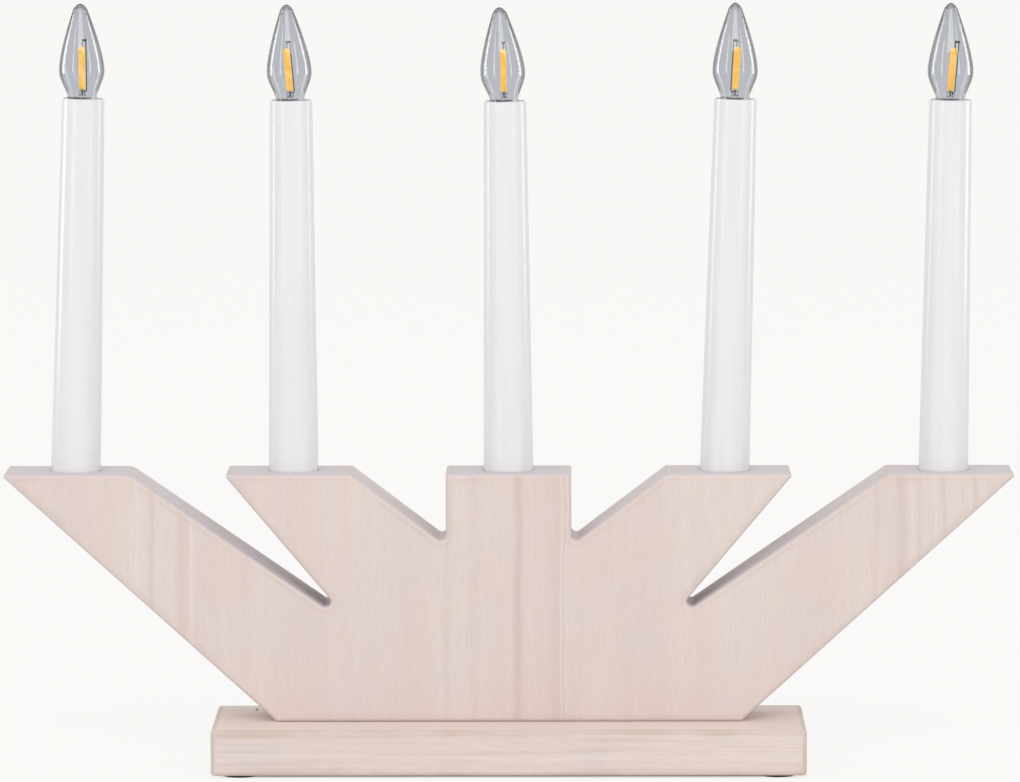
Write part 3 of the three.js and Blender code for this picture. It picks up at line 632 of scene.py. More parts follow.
# %% [markdown]
# Boards with eased edges
#
# A board is an outline with a thickness and eased edges. Blender's Bevel modifier could ease the
# edges of an extruded outline, but the arms end in sharp tips where a bevel overlaps itself. Here
# the wall is worked out instead: the whole outline draws inward as it comes near a face, by one
# minus the sine of a quarter turn, which gives a true quarter round with mitred corners. The flat
# faces are nets of small triangles, so that the distance to the edge can be kept on their points.
# The holes are cut with Boolean modifiers whose results are made real at once.

# %% Distances and nets


def distance_to(outline, points):
    """Shortest distance from each point to the sides of a closed outline.

    Each point is dropped square on each side, with the foot held between the side's ends.
    """
    start, side = outline, np.roll(outline, -1, axis=0) - outline
    apart = points[:, None] - start[None]
    length = np.maximum((side**2).sum(1), 1e-12)
    share = np.clip((apart * side[None]).sum(2) / length, 0, 1)
    return np.linalg.norm(apart - share[..., None] * side[None], axis=2).min(1)


def inside(outline, points):
    """True where a ray towards +X crosses the outline's sides an odd number of times."""
    x1, y1 = outline.T
    x2, y2 = np.roll(outline, -1, axis=0).T
    x, y = points[:, :1], points[:, 1:]
    spans = (y1 > y) != (y2 > y)
    rise = np.where(y2 == y1, 1.0, y2 - y1)
    return (spans & (x < x1 + (y - y1) * (x2 - x1) / rise)).sum(1) % 2 == 1


def face_net(ring, pitch):
    """Triangles that fill a closed ring: a staggered lattice joined by Delaunay's rule."""
    low, high = ring.min(0), ring.max(0)
    rows = np.arange(low[1] + pitch, high[1], pitch * math.sqrt(3) / 2)
    columns = np.arange(low[0], high[0], pitch)
    x = columns[None] + (np.arange(len(rows)) % 2)[:, None] * pitch / 2
    lattice = np.stack([x, rows[:, None] + 0 * x], axis=-1).reshape(-1, 2)
    kept = inside(ring, lattice) & (distance_to(ring, lattice) > 0.5 * pitch)
    spots = np.vstack([ring, lattice[kept]])
    count = len(ring)
    sides = [(k, (k + 1) % count) for k in range(count)]
    verts, _, faces, *_ = delaunay_2d_cdt([Vector(spot) for spot in spots], sides, [], 1, 1e-7)
    return np.array([list(v) for v in verts]), faces


print("a square of 6 mm is filled by", len(face_net(fillet(rectangle(0, 6, 0, 6, 0)), 2)[1]), "triangles")

# %% Slab with eased edges
FLAT_MARGIN = 0.25
LEAST_RADIUS = 0.08
EASE_STEPS = 7
NET_PITCH = 2.6
WALL_PITCH = 2.6


def drawn_in(corners, depth):
    """The outline with every side moved inward by a depth.

    A corner moves to where its two moved sides meet: spot + depth (a + b) / (1 + a.b), with a and b
    the unit vectors from its sides into the material. A convex round gets smaller, a hollow one
    larger.
    """
    corners = np.asarray(corners, float)
    side = corners[:, :2] - np.roll(corners[:, :2], 1, axis=0)
    side /= np.linalg.norm(side, axis=1, keepdims=True)
    before = np.column_stack([-side[:, 1], side[:, 0]])
    after = np.roll(before, -1, axis=0)
    convex = before[:, 0] * after[:, 1] - before[:, 1] * after[:, 0] > 0
    spots = corners[:, :2] + depth * (before + after) / (1 + (before * after).sum(1))[:, None]
    radius = np.where(convex, np.maximum(corners[:, 2] - depth, LEAST_RADIUS), corners[:, 2] + depth)
    return np.column_stack([spots, radius])


def slab(name, corners, low, high, ease, axes):
    """A board between two levels. axes says which of X, Y, Z the outline and the level run along.

    Where it is eased, the inset is ease (1 - sin t) and the way from the face ease (1 - cos t), for
    t from 0 to a quarter turn, and both faces are nets. Else it is a plain prism.
    """
    if ease:
        quarter = np.linspace(0, math.pi / 2, EASE_STEPS + 1)
        margin = ease + FLAT_MARGIN
        inset = np.concatenate([[margin], ease * (1 - np.sin(quarter))])
        rise = np.concatenate([[0], ease * (1 - np.cos(quarter))])
        wall = np.linspace(low + margin, high - margin, math.ceil((high - low) / WALL_PITCH))
        level = np.concatenate([low + rise, wall, high - rise[::-1]])
        depths = np.concatenate([inset, 0 * wall, inset[::-1]])
        flat = np.stack([fillet(drawn_in(corners, depth), FLAT_MARGIN) for depth in depths])
        net, triangles = face_net(flat[0], NET_PITCH)
    else:
        level = np.array([low, high], float)
        flat = np.stack([fillet(corners)] * 2)
        net, triangles = flat[0], [tuple(range(flat.shape[1]))]
    points = np.concatenate([flat, np.broadcast_to(level[:, None, None], (*flat.shape[:2], 1))], axis=2)
    points = points.reshape(-1, 3)
    faces = [tuple(face) for face in grid_faces(len(level), flat.shape[1], closed_columns=True)]
    for height in (low, high):
        first = len(points)
        points = np.vstack([points, np.column_stack([net, np.full(len(net), height)])])
        faces += [tuple(first + k for k in triangle) for triangle in triangles]
    spread = np.empty_like(points)
    spread[:, list(axes)] = points
    return new_piece(name, spread, faces)


print("slab faces have a point every", NET_PITCH, "mm")

# %% Holes and edge distances
ON_FACE = 0.01


def rod_cutter(name, start, end, radius, sides=48):
    """A plain cylinder between two points, to cut a hole with."""
    return tube_piece(name, np.linspace(start, end, 2), radius, sides)


def carve(piece, cutters):
    """Cuts the cutters out of the piece one after another, and removes them."""
    for cutter in cutters:
        cut = piece.modifiers.new(cutter.name, "BOOLEAN")
        cut.operation = "DIFFERENCE"
        cut.solver = "EXACT"
        cut.object = cutter
    graph = bpy.context.evaluated_depsgraph_get()
    carved = bpy.data.meshes.new_from_object(piece.evaluated_get(graph))
    piece.modifiers.clear()
    whole, piece.data = piece.data, carved
    bpy.data.meshes.remove(whole)
    for cutter in cutters:
        bpy.data.objects.remove(cutter)
    return piece


def keep_edge_distance(piece, corners, low, high, axes):
    """Stores each point's distance to the nearest edge, in millimetres, as 'edge'.

    On the two faces that is the distance to the outline, and on the walls the smaller of those to a
    face and to a corner of the outline.
    """
    points = corners_of(piece)[:, list(axes)]
    depth = np.minimum(points[:, 2] - low, high - points[:, 2])
    from_face = np.maximum(distance_to(fillet(corners), points[:, :2]), depth)
    spots = np.array([corner[:2] for corner in corners])
    from_corner = np.linalg.norm(points[:, None, :2] - spots[None], axis=2).min(1)
    on_face = depth < ON_FACE
    return keep(piece, "edge", np.where(on_face, from_face, np.minimum(from_face, from_corner)))


print("a point nearer to a face than", ON_FACE, "mm counts as on it")

# %% [markdown]
# The arm board
#
# The board is a fan of five arms, alike on both sides of the middle but for one rounder shoulder, so
# only half its corners are listed, from the foot out and up. A notch is where two slanting lines
# cross, and follows from their angles. Each candle stands in a blind hole that leans with it. From
# its floor a slanted hole leads to a groove in the back, and the grooves meet in a pocket at the
# foot. Where the board stands on the base, its rounded edge is pressed flatter, so that only a thin
# dark line shows there.

# %% Outline of the panel
FOOT_HALF = 81.6
BLOCK_HALF = 22.0
OUTER_ARM = {"tip": 178.3, "shoulder": 133.0, "slope": 34.55}
INNER_ARM = {"tip": 100.0, "shoulder": 55.3, "slope": 37.15, "under_slope": 49.87}
PANEL_EASE = 1.5
PANEL_CORNER = 0.8
LEFT_SHOULDER = 6.0
NOTCH_RADIUS = 1.8


def crossing(x1, angle1, x2, angle2):
    """Where two lines meet that fall from the panel's top at x1 and x2, at angles in degrees."""
    rise1, rise2 = math.tan(math.radians(angle1)), math.tan(math.radians(angle2))
    x = (rise1 * x1 - rise2 * x2) / (rise1 - rise2)
    return x, panel_top + rise1 * (x - x1)


outer_notch = crossing(
    OUTER_ARM["shoulder"], OUTER_ARM["slope"], INNER_ARM["tip"], INNER_ARM["under_slope"]
)
inner_drop = (INNER_ARM["shoulder"] - BLOCK_HALF) * math.tan(math.radians(INNER_ARM["slope"]))
half_outline = [
    (FOOT_HALF, base_top, PANEL_CORNER),
    (OUTER_ARM["tip"], panel_top, PANEL_CORNER),
    (OUTER_ARM["shoulder"], panel_top, PANEL_CORNER),
    (*outer_notch, NOTCH_RADIUS),
    (INNER_ARM["tip"], panel_top, PANEL_CORNER),
    (INNER_ARM["shoulder"], panel_top, PANEL_CORNER),
    (BLOCK_HALF, panel_top - inner_drop, NOTCH_RADIUS),
    (BLOCK_HALF, panel_top, PANEL_CORNER),
]
# The left arm's shoulder is rounded more than the right one's.
other_half = [(-x, z, radius) for x, z, radius in half_outline]
other_half[2] = (*other_half[2][:2], LEFT_SHOULDER)
panel_corners = half_outline + other_half[::-1]
print("panel outline has", len(panel_corners), "corners")

# %% Routes of grooves and wires
GROOVE_HALF = 2.8
GROOVE_DEPTH = 4.2
WIRE_RADIUS = 1.0
GAP = 0.3
SLANT = {"radius": 3.6, "drop": 8.5, "run": {"outer": 7.7, "inner": 6.1}}
GROOVE_END = {"outer": (36.0, 8.4), "inner": (25.0, 19.6)}
groove_floor = panel_back - GROOVE_DEPTH
wire_depth = groove_floor + GAP + WIRE_RADIUS


def side_of(number):
    """-1 for the two left candles, 0 for the middle one and 1 for the right ones."""
    return (number > 3) - (number < 3)


def ring_of(number):
    """Whether a candle is one of the two outer or of the three inner ones."""
    return "outer" if number in (1, 5) else "inner"


def groove_start(number):
    """X and Z where the slanted wire hole of a candle comes out in the back of the panel."""
    run = SLANT["run"][ring_of(number)]
    return np.array([candle_places[number][0][0] - side_of(number) * run, seat_floor - SLANT["drop"]])


def groove_end(number):
    """X and Z where a candle's groove runs into the wiring pocket."""
    x, height = GROOVE_END[ring_of(number)]
    return np.array([side_of(number) * x, base_top + height])


for number in CANDLES:
    print("groove", number, groove_start(number).round(1), groove_end(number).round(1))

# %% Holes and grooves of the panel
SEAT_RADIUS = 9.02
OVERCUT = 2.0
POCKET = {"half": 37.0, "height": 22.0, "radius": 3.0}
PANEL_SCREW = {"x": 68.0, "top": 39.5, "room": 2.3}
PANEL_AXES = (0, 2, 1)
ROUND_END = 0.999


def slot_corners(start, end, half):
    """Corners of a slot between two points, with ends all but fully round."""
    ahead = (end - start) / np.linalg.norm(end - start)
    left = np.array([-ahead[1], ahead[0]])
    spots = [
        start - half * (ahead + left),
        end + half * (ahead - left),
        end + half * (ahead + left),
        start - half * (ahead - left),
    ]
    return [(*spot, half * ROUND_END) for spot in spots]


def seat_cutter(number):
    """The blind hole that a candle tube stands in."""
    ends = on_seat(number)(np.array([[0, 0, 0], [0, 0, SEAT_DEPTH + OVERCUT]]))
    return rod_cutter(f"seat_{number}", ends[0], ends[1], SEAT_RADIUS, 96)


def slant_cutter(number):
    """The slanted hole from the floor of a seat to its groove."""
    x, z = groove_start(number)
    inner = np.array([candle_places[number][0][0], panel_middle, seat_floor])
    outer = np.array([x, wire_depth, z])
    ahead = (outer - inner) / np.linalg.norm(outer - inner)
    past = (panel_back + OVERCUT - wire_depth + SLANT["radius"]) / ahead[1]
    return rod_cutter(f"slant_{number}", inner - ahead, outer + past * ahead, SLANT["radius"])


def groove_cutter(number):
    """The groove in the back that a candle's wires lie in."""
    corners = slot_corners(groove_start(number), groove_end(number), GROOVE_HALF)
    return slab(f"groove_{number}", corners, groove_floor, panel_back + OVERCUT, 0, PANEL_AXES)


def pocket_cutter():
    """The wiring pocket in the back, open towards the foot."""
    half, radius = POCKET["half"], POCKET["radius"]
    corners = rectangle(-half, half, base_top - radius, base_top + POCKET["height"], radius)
    return slab("wiring_pocket", corners, groove_floor, panel_back + OVERCUT, 0, PANEL_AXES)


def screw_cutter(side):
    """The hole in the foot that a long screw bites into."""
    start = (side * PANEL_SCREW["x"], panel_middle, base_top - OVERCUT)
    return rod_cutter(f"screw_hole_{side}", start, (*start[:2], PANEL_SCREW["top"]), PANEL_SCREW["room"], 24)


print("seats are", 2 * SEAT_RADIUS, "mm wide and", SEAT_DEPTH, "mm deep")

# %% Cut the panel
FOOT_REACH = 3.0
FOOT_SHARE = 0.3
FOOT_MARGIN = 1.0


def settle_foot(piece):
    """Presses the eased edges of the foot flatter, where the board was planed to stand tight.

    A height t over the base becomes t (s + (1 - s) u^2 (3 - 2u)), where s is the share that is left
    at the very foot and u is t over the reach. The press fades out at the two ends of the foot.
    """
    points = corners_of(piece)
    above = points[:, 2] - base_top
    u = np.clip(above / FOOT_REACH, 0, 1)
    pressed = above * (FOOT_SHARE + (1 - FOOT_SHARE) * u**2 * (3 - 2 * u))
    inwards = np.clip((FOOT_HALF - FOOT_MARGIN - np.abs(points[:, 0])) / FOOT_REACH, 0, 1)
    points[:, 2] = base_top + above + inwards * (pressed - above)
    return move_corners(piece, points)


arm_board = slab("arm_board", panel_corners, panel_front, panel_back, PANEL_EASE, PANEL_AXES)
settle_foot(arm_board)
cutters = [cutter(number) for cutter in (seat_cutter, groove_cutter, slant_cutter) for number in CANDLES]
cutters += [pocket_cutter(), screw_cutter(-1), screw_cutter(1)]
carve(arm_board, cutters)
keep_edge_distance(arm_board, panel_corners, panel_front, panel_back, PANEL_AXES)
shade(arm_board)
stand_for(arm_board, "root", "limed_pine", panel_wood, "wood_panel")
print("arm board:", len(arm_board.data.polygons), "faces")

# %% [markdown]
# The base board
#
# From outside the base is a plain board, but its underside has a pocket where the wires meet, a
# recess for the cover over it, and rooms for countersunk screws. A stepped hole in its rear edge
# takes the bush. A room is its screw's own shape with a small gap all round, so each cutter is made
# from the same sizes as the piece that fills it later.

# %% Sizes under the base
UNDER_POCKET = {"half": 48.0, "front": -12.0, "back": 24.0, "ceiling": 5.0, "radius": 4.0}
COVER = {"end": 8.0, "front": 4.0, "back": 2.0, "radius": 4.0}
FEED_HOLE_RADIUS = 3.8
cover_low, cover_high = box_mm("base_cover")
under_top = base_top - UNDER_POCKET["ceiling"]
under_bottom = cover_high[2] + GAP
bush_low, bush_high = box_mm("cord_inlet_bush")
bush_middle = (bush_low + bush_high) / 2
BUSH = {"bore": 2.6, "shank": 3.5, "flange": 5.0, "thickness": 1.4}
print("pocket under the base goes up to", round(float(under_top), 2), "mm")

# %% Screws and their rooms


def countersink(name, x, y, foot, head_radius, head_height, radius, length):
    """Room for a countersunk screw: a wide mouth that narrows to the shank's hole."""
    profile = [
        (0, foot - OVERCUT),
        (head_radius + GAP, foot - OVERCUT),
        (head_radius + GAP, foot),
        (radius + GAP, foot + head_height),
        (radius + GAP, foot + length + GAP),
        (0, foot + length + GAP),
    ]
    return solid_turned(name, profile, 32, lambda points: points + np.array([x, y, 0]))


SCREWS = {
    "panel": {"radius": 2.0, "head_radius": 4.0, "head_height": 2.4, "length": 38.0, "point": 5.0},
    "cover": {"radius": 1.5, "head_radius": 2.8, "head_height": 1.4, "length": 10.0, "point": 3.0},
}
cover_screw_x = UNDER_POCKET["half"] + COVER["end"] / 2
cover_screw_y = (UNDER_POCKET["front"] + UNDER_POCKET["back"]) / 2
SCREW_PLACES = {
    ("panel", "left"): (-PANEL_SCREW["x"], panel_middle),
    ("panel", "right"): (PANEL_SCREW["x"], panel_middle),
    ("cover", "left"): (-cover_screw_x, cover_screw_y),
    ("cover", "right"): (cover_screw_x, cover_screw_y),
}


def screw_rooms(kinds=("panel", "cover")):
    """Cutters for the screws of these kinds."""
    rooms = []
    for (kind, side), (x, y) in SCREW_PLACES.items():
        if kind in kinds:
            screw = SCREWS[kind]
            size = (screw["head_radius"], screw["head_height"], screw["radius"], screw["length"])
            rooms.append(countersink(f"room_{kind}_{side}", x, y, cover_low[2], *size))
    return rooms


print("screws:", len(SCREW_PLACES))

# %% Cut the base board
BASE_EASE = 1.2
BASE_CORNER = 1.6
BASE_AXES = (0, 1, 2)


def cover_corners(grow):
    """Outline of the cover, made larger all round by a clearance."""
    return rectangle(
        -UNDER_POCKET["half"] - COVER["end"] - grow,
        UNDER_POCKET["half"] + COVER["end"] + grow,
        UNDER_POCKET["front"] - COVER["front"] - grow,
        UNDER_POCKET["back"] + COVER["back"] + grow,
        COVER["radius"] + grow,
    )


base_corners = rectangle(base_low[0], base_high[0], base_low[1], base_high[1], BASE_CORNER)
base_piece = slab("base_plinth", base_corners, base_low[2], base_high[2], BASE_EASE, BASE_AXES)
under_corners = rectangle(
    -UNDER_POCKET["half"],
    UNDER_POCKET["half"],
    UNDER_POCKET["front"],
    UNDER_POCKET["back"],
    UNDER_POCKET["radius"],
)
inlet_start = (bush_middle[0], UNDER_POCKET["back"] - OVERCUT, bush_middle[2])
inlet_end = (bush_middle[0], base_high[1] + OVERCUT, bush_middle[2])
flange_start = (bush_middle[0], base_high[1] - BUSH["thickness"] - GAP, bush_middle[2])
carve(
    base_piece,
    [
        slab("under_pocket", under_corners, -OVERCUT, under_top, 0, BASE_AXES),
        slab("cover_recess", cover_corners(GAP), -OVERCUT, under_bottom, 0, BASE_AXES),
        rod_cutter("feed_hole", (0, wire_depth, 0), (0, wire_depth, base_top + OVERCUT), FEED_HOLE_RADIUS),
        rod_cutter("inlet_hole", inlet_start, inlet_end, BUSH["shank"] + GAP),
        rod_cutter("flange_seat", flange_start, inlet_end, BUSH["flange"] + GAP),
        *screw_rooms(),
    ],
)
keep_edge_distance(base_piece, base_corners, base_low[2], base_high[2], BASE_AXES)
shade(base_piece)
stand_for(base_piece, "root", "limed_pine", base_wood, "base_board")
print("base board:", len(base_piece.data.polygons), "faces")

# %% [markdown]
# Candle tubes
#
# The candles are extruded white plastic tubes that narrow a little towards the top. Their gloss
# shows the studio lamps as upright stripes, so the surface has to be truly round: the profile is
# carried round the axis in 128 steps. The rim has a half-millimetre round, which catches a thin
# light line, and a step inside it in which the lamp holder's collar lies.

# %% White plastic recipes


def dimmed(colour, share):
    """A colour made darker, with its alpha as it is."""
    return (*(share * channel for channel in colour[:3]), 1.0)


def white_plastic(name, colour, roughness, offset):
    """Moulded white plastic with faint flow lines and a hair of waviness in its gloss."""
    plastic = Recipe(name, IOR=1.5)
    flow = plastic.noise((3.0, 3.0, 60.0), detail=2, offset=offset)
    speck = plastic.noise((1.1, 1.1, 1.1), detail=2, offset=offset)
    flowed = plastic.ramp(flow, 0.35, 0.75)
    plastic.into("Base Color", plastic.mix(flowed, colour, dimmed(colour, 0.965)))
    plastic.into("Roughness", plastic.ramp(speck, 0.3, 0.75, roughness, roughness + 0.08))
    plastic.bump(flow, 0.05, 0.15)
    return plastic.material


tube_plastic = white_plastic("candle_white", tone(234, 233, 235), 0.2, (0.0, 0.0, 0.0))
holder_plastic = white_plastic("holder_white", tone(228, 227, 226), 0.38, (4.0, 2.0, 0.0))
print("white plastics are ready")

# %% Tubes
TUBE = {"top": 7.45, "foot": 8.85, "wall": 1.1, "rim_wall": 0.6}
TUBE_SIDES = 128
HOLDER_BOTTOM = -16.635
FLANGE_SEAT_DEPTH = 1.4
tube_inner_foot = TUBE_LENGTH + HOLDER_BOTTOM - GAP
flange_seat = TUBE["top"] - TUBE["rim_wall"]
tube_profile = [
    (TUBE["foot"] - TUBE["wall"], GAP, 0.25),
    (TUBE["foot"], GAP, 0.3),
    (TUBE["top"], TUBE_LENGTH, 0.54),
    (flange_seat, TUBE_LENGTH, 0.04),
    (flange_seat, TUBE_LENGTH - FLANGE_SEAT_DEPTH, 0.08),
    (TUBE["top"] - TUBE["wall"], TUBE_LENGTH - FLANGE_SEAT_DEPTH, 0.08),
    (TUBE["top"] - TUBE["wall"], tube_inner_foot, 0.5),
]
for number in CANDLES:
    tube = ring_turned(f"white_tube_{number}", tube_profile, TUBE_SIDES, on_tube(number))
    stand_for(tube, "root", "white_plastic", tube_plastic, f"candle_tube_{number}")
print("tube faces:", len(tube.data.polygons))

# %% [markdown]
# Lamp holders and their threads
#
# In the top of each tube sits a white holder with a threaded brass shell, and the lamp's nickel cap
# screws into it. A thread is a turned surface whose radius rises and falls with the angle minus the
# climb: r = mean + depth cos(angle - 2 pi height / pitch). It fades in and out at both ends. That
# one formula makes both the cap's outside and the shell, with the clearance between them.

# %% Sizes of cap and thread
CLEARANCE = 0.3
THREAD = {"pitch": 1.814, "mean": 4.45, "depth": 0.25, "turns": 2.5}
CAP = {
    "sunk": 1.2,
    "collar_radius": 4.85,
    "collar_height": 2.0,
    "wall": 0.35,
    "nose": 1.0,
    "nose_radius": 2.8,
    "nose_ease": 0.3,
    "chamfer": 0.1,
}
thread_top = -CAP["sunk"] - CAP["collar_height"] - GAP
thread_end = thread_top - THREAD["pitch"] * THREAD["turns"]
cap_bottom = thread_end - GAP - CAP["nose"]
tip_top = cap_bottom - GAP
TIP = {"radius": 2.0, "height": 1.2, "face": 0.9, "rounded": 0.6}
SHELL = {"wall": 0.3, "skirt": 0.6}
print("thread runs from", round(thread_end, 2), "to", round(thread_top, 2), "mm under the rim")

# %% Metals


def metal(name, colour, roughness, scratch=0.6):
    """Bare metal with fine scratches that change its roughness and its colour a little."""
    bare = Recipe(name, Metallic=1.0)
    grain = bare.noise((scratch, scratch, 8 * scratch), detail=3)
    bare.into("Base Color", bare.mix(bare.ramp(grain, 0.4, 0.8), colour, dimmed(colour, 0.8)))
    bare.into("Roughness", bare.ramp(grain, 0.3, 0.8, roughness, roughness + 0.18))
    bare.bump(grain, 0.02, 0.3)
    return bare.material


nickel = metal("cap_nickel", tone(205, 204, 202), 0.2)
solder = metal("tip_solder", tone(188, 190, 192), 0.42)
brass = metal("socket_brass", tone(201, 168, 96), 0.28)
zinc = metal("screw_zinc", tone(176, 178, 180), 0.33)
lead_steel = metal("lead_steel", tone(98, 92, 88), 0.35, 0.3)
cross_steel = metal("cross_steel", tone(34, 32, 32), 0.5, 0.3)
print("metals:", nickel.name, solder.name, brass.name, zinc.name, lead_steel.name, cross_steel.name)

# %% Threaded surfaces
THREAD_ROWS, THREAD_SIDES = 41, 72
FADE_RATE = 10


def threaded(radii, heights, mean, sides):
    """Rows of a turned surface; where the radius is the mean one, it follows the screw line.

    There the thread fades in over a tenth of its length, and out over the last tenth.
    """
    angle = np.arange(sides) / sides * 2 * math.pi
    share = (heights - thread_end) / (thread_top - thread_end)
    fade = np.clip(np.minimum(share, 1 - share) * FADE_RATE, 0, 1)[:, None]
    phase = angle[None] - 2 * math.pi * (heights[:, None] - thread_end) / THREAD["pitch"]
    wave = THREAD["depth"] * np.cos(phase) * fade - THREAD["depth"] * (1 - fade)
    radius = radii[:, None] + np.where(radii[:, None] == mean, wave, 0)
    level = heights[:, None] + 0 * angle
    return np.stack([radius * np.cos(angle), radius * np.sin(angle), level], axis=-1)


def threaded_piece(name, before, mean, after, closed, place):
    """A turned piece with plain profile points before and after its thread's rows."""
    heights = np.linspace(thread_end, thread_top, THREAD_ROWS)
    rows = np.column_stack([np.full(THREAD_ROWS, mean), heights])
    profile = np.vstack([before, rows, after])
    points = threaded(profile[:, 0], profile[:, 1], mean, THREAD_SIDES)
    faces = grid_faces(len(profile), THREAD_SIDES, closed_rows=closed, closed_columns=True)
    return shade(new_piece(name, place(points.reshape(-1, 3)), faces))


print("a thread has", THREAD_ROWS * THREAD_SIDES, "points")

# %% Caps, shells and solder tips
root_radius = THREAD["mean"] - THREAD["depth"]
cap_bore = root_radius - CAP["wall"]
cap_before = [
    (0, cap_bottom),
    (CAP["nose_radius"] - CAP["nose_ease"], cap_bottom),
    (CAP["nose_radius"], cap_bottom + CAP["chamfer"]),
    (root_radius, cap_bottom + CAP["nose"]),
]
cap_after = [
    (root_radius, thread_top + GAP),
    (CAP["collar_radius"] - CAP["chamfer"], thread_top + GAP),
    (CAP["collar_radius"], thread_top + GAP + CAP["chamfer"]),
    (CAP["collar_radius"], -CAP["sunk"] - CAP["chamfer"]),
    (CAP["collar_radius"] - CAP["chamfer"], -CAP["sunk"]),
    (cap_bore, -CAP["sunk"]),
    (cap_bore, cap_bottom + CAP["nose"]),
    (0, cap_bottom + CAP["nose"]),
]
shell_mean = THREAD["mean"] + CLEARANCE
shell_inner = shell_mean + THREAD["depth"]
shell_outer = shell_inner + SHELL["wall"]
shell_bottom = thread_end - SHELL["skirt"]
shell_before = [(shell_outer, thread_top), (shell_outer, shell_bottom), (shell_inner, shell_bottom)]
shell_after = [(shell_inner, thread_top)]


def tip_profile():
    """A blob of solder: a short cylinder that rounds off by a quarter ellipse to a small flat face."""
    angle = np.linspace(0, math.pi / 2, 9)
    radius = TIP["face"] + (TIP["radius"] - TIP["face"]) * np.sin(angle)
    height = tip_top - TIP["height"] + TIP["rounded"] * TIP["height"] * (1 - np.cos(angle))
    rounded = np.column_stack([radius, height])
    return np.vstack([(0, height[0]), rounded, (TIP["radius"], tip_top), (0, tip_top)])


for number in CANDLES:
    place = on_lamp(number)
    cap = threaded_piece(f"nickel_cap_{number}", cap_before, THREAD["mean"], cap_after, False, place)
    stand_for(cap, f"bulb_body_{number}", "nickel_cap", nickel, f"bulb_cap_{number}")
    shell = threaded_piece(f"thread_shell_{number}", shell_before, shell_mean, shell_after, True, place)
    stand_for(shell, "root", "brass", brass, f"socket_shell_{number}")
    tip = solid_turned(f"solder_tip_{number}", tip_profile(), 48, place)
    stand_for(tip, f"bulb_tip_body_{number}", "solder", solder, f"bulb_tip_{number}")
    finish(frame["nodes"][f"centre_contact_{number}"], brass)
print("cap faces:", len(cap.data.polygons))

# %% Holders
HOLDER = {"bore": 5.45, "radius": 6.05, "flange": 1.0, "drop": 0.1, "shoulder": 4.4, "floor": 2.5}
HOLDER_WIRE_HOLE = {"offset": 1.5, "radius": 1.3}
holder_floor_top = HOLDER_BOTTOM + HOLDER["floor"]
flange_top = -HOLDER["drop"]
flange_bottom = flange_top - HOLDER["flange"]
holder_profile = rounded_profile(
    [
        (0, HOLDER_BOTTOM, 0),
        (HOLDER["radius"], HOLDER_BOTTOM, 0.3),
        (HOLDER["radius"], flange_bottom, 0.05),
        (flange_seat - GAP, flange_bottom, 0.05),
        (flange_seat - GAP, flange_top, 0.2),
        (HOLDER["bore"], flange_top, 0.15),
        (HOLDER["bore"], shell_bottom - GAP, 0.05),
        (HOLDER["shoulder"], shell_bottom - GAP, 0.05),
        (HOLDER["shoulder"], holder_floor_top, 0.05),
        (0, holder_floor_top, 0),
    ]
)
for number in CANDLES:
    place = on_tube(number, TUBE_LENGTH)
    holder = solid_turned(f"holder_collar_{number}", holder_profile, 96, place)
    holes = []
    for side in (-1, 1):
        x = side * HOLDER_WIRE_HOLE["offset"]
        ends = place(np.array([[x, 0, HOLDER_BOTTOM - OVERCUT], [x, 0, holder_floor_top - GAP]]))
        holes.append(rod_cutter(f"wire_hole_{side}", ends[0], ends[1], HOLDER_WIRE_HOLE["radius"], 24))
    shade(carve(holder, holes))
    stand_for(holder, "root", "holder_plastic", holder_plastic, f"lamp_holder_{number}")
print("holder faces:", len(holder.data.polygons))

# %% [markdown]
# Lamp glass
#
# The glass is blown: it flares from the cap to a belly and tapers to a narrow round tip. Light bends
# at both sides of the wall, so it needs a real inside surface. A single sheet would look like a
# solid drop. Below the belly the radius falls off as half a cosine wave. Above it, it falls off
# slowly and then steadily, by slope (sqrt(x^2 + blend^2) - blend) at a distance x from the belly,
# and towards the tip it draws in a little more. The inside is the same curve less the wall. No two
# glasses have the same height. A thin ring of white cement fills the step between glass and cap.

# %% Glass outline
GLASS_HEIGHT = {1: 33.1, 2: 33.5, 3: 32.8, 4: 33.6, 5: 33.8}
GLASS = {
    "belly": 9.7,
    "slope": 0.31,
    "blend": 6.0,
    "wave": 10.4,
    "wave_depth": 2.88,
    "tip_reach": 16.0,
    "tip_draw": 0.55,
    "dome": 2.3,
    "wall": 0.42,
    "tip_wall": 0.8,
    "neck": 5.1,
}
GLASS_GIRTH = {1: 7.96, 2: 7.86, 3: 7.86, 4: 7.92, 5: 8.0}
GLASS_SIDES, GLASS_ROWS = 160, 64
GLASS_FOOT = -0.2
GLASS_FLOOR = -0.55
neck_top = GAP - CAP["sunk"]
neck_radius = THREAD["mean"] - THREAD["depth"] - CAP["wall"] - GAP


def tip_share(level, height):
    """0 below the reach of the tip, and rising with the square of the way to 1 at its end."""
    return np.clip(1 - (height - level) / GLASS["tip_reach"], 0, 1) ** 2


def glass_radius(level, girth, height):
    """Outside radius at a level above the rim, for a glass of a given belly and height.

    It is the girth, less half a cosine wave below the belly or the falling line above it, less the
    draw of the tip.
    """
    away = level - GLASS["belly"]
    above = GLASS["slope"] * (np.hypot(away, GLASS["blend"]) - GLASS["blend"])
    below = GLASS["wave_depth"] * (1 - np.cos(math.pi * away / GLASS["wave"])) / 2
    return girth - np.where(away < 0, below, above) - GLASS["tip_draw"] * tip_share(level, height)


def domed(radius, bottom, start, top, rows):
    """Rows of (radius, height) up a side to a start height, then over a dome to a pole.

    On the dome the height goes on with sin t, and the side's radius there is multiplied by cos t.
    """
    side = np.linspace(bottom, start, rows)
    angle = np.linspace(0, math.pi / 2, 16)[1:]
    rise = start + (top - start) * np.sin(angle)
    dome = np.column_stack([radius(rise) * np.cos(angle), rise])
    return np.vstack([np.column_stack([radius(side), side]), dome])


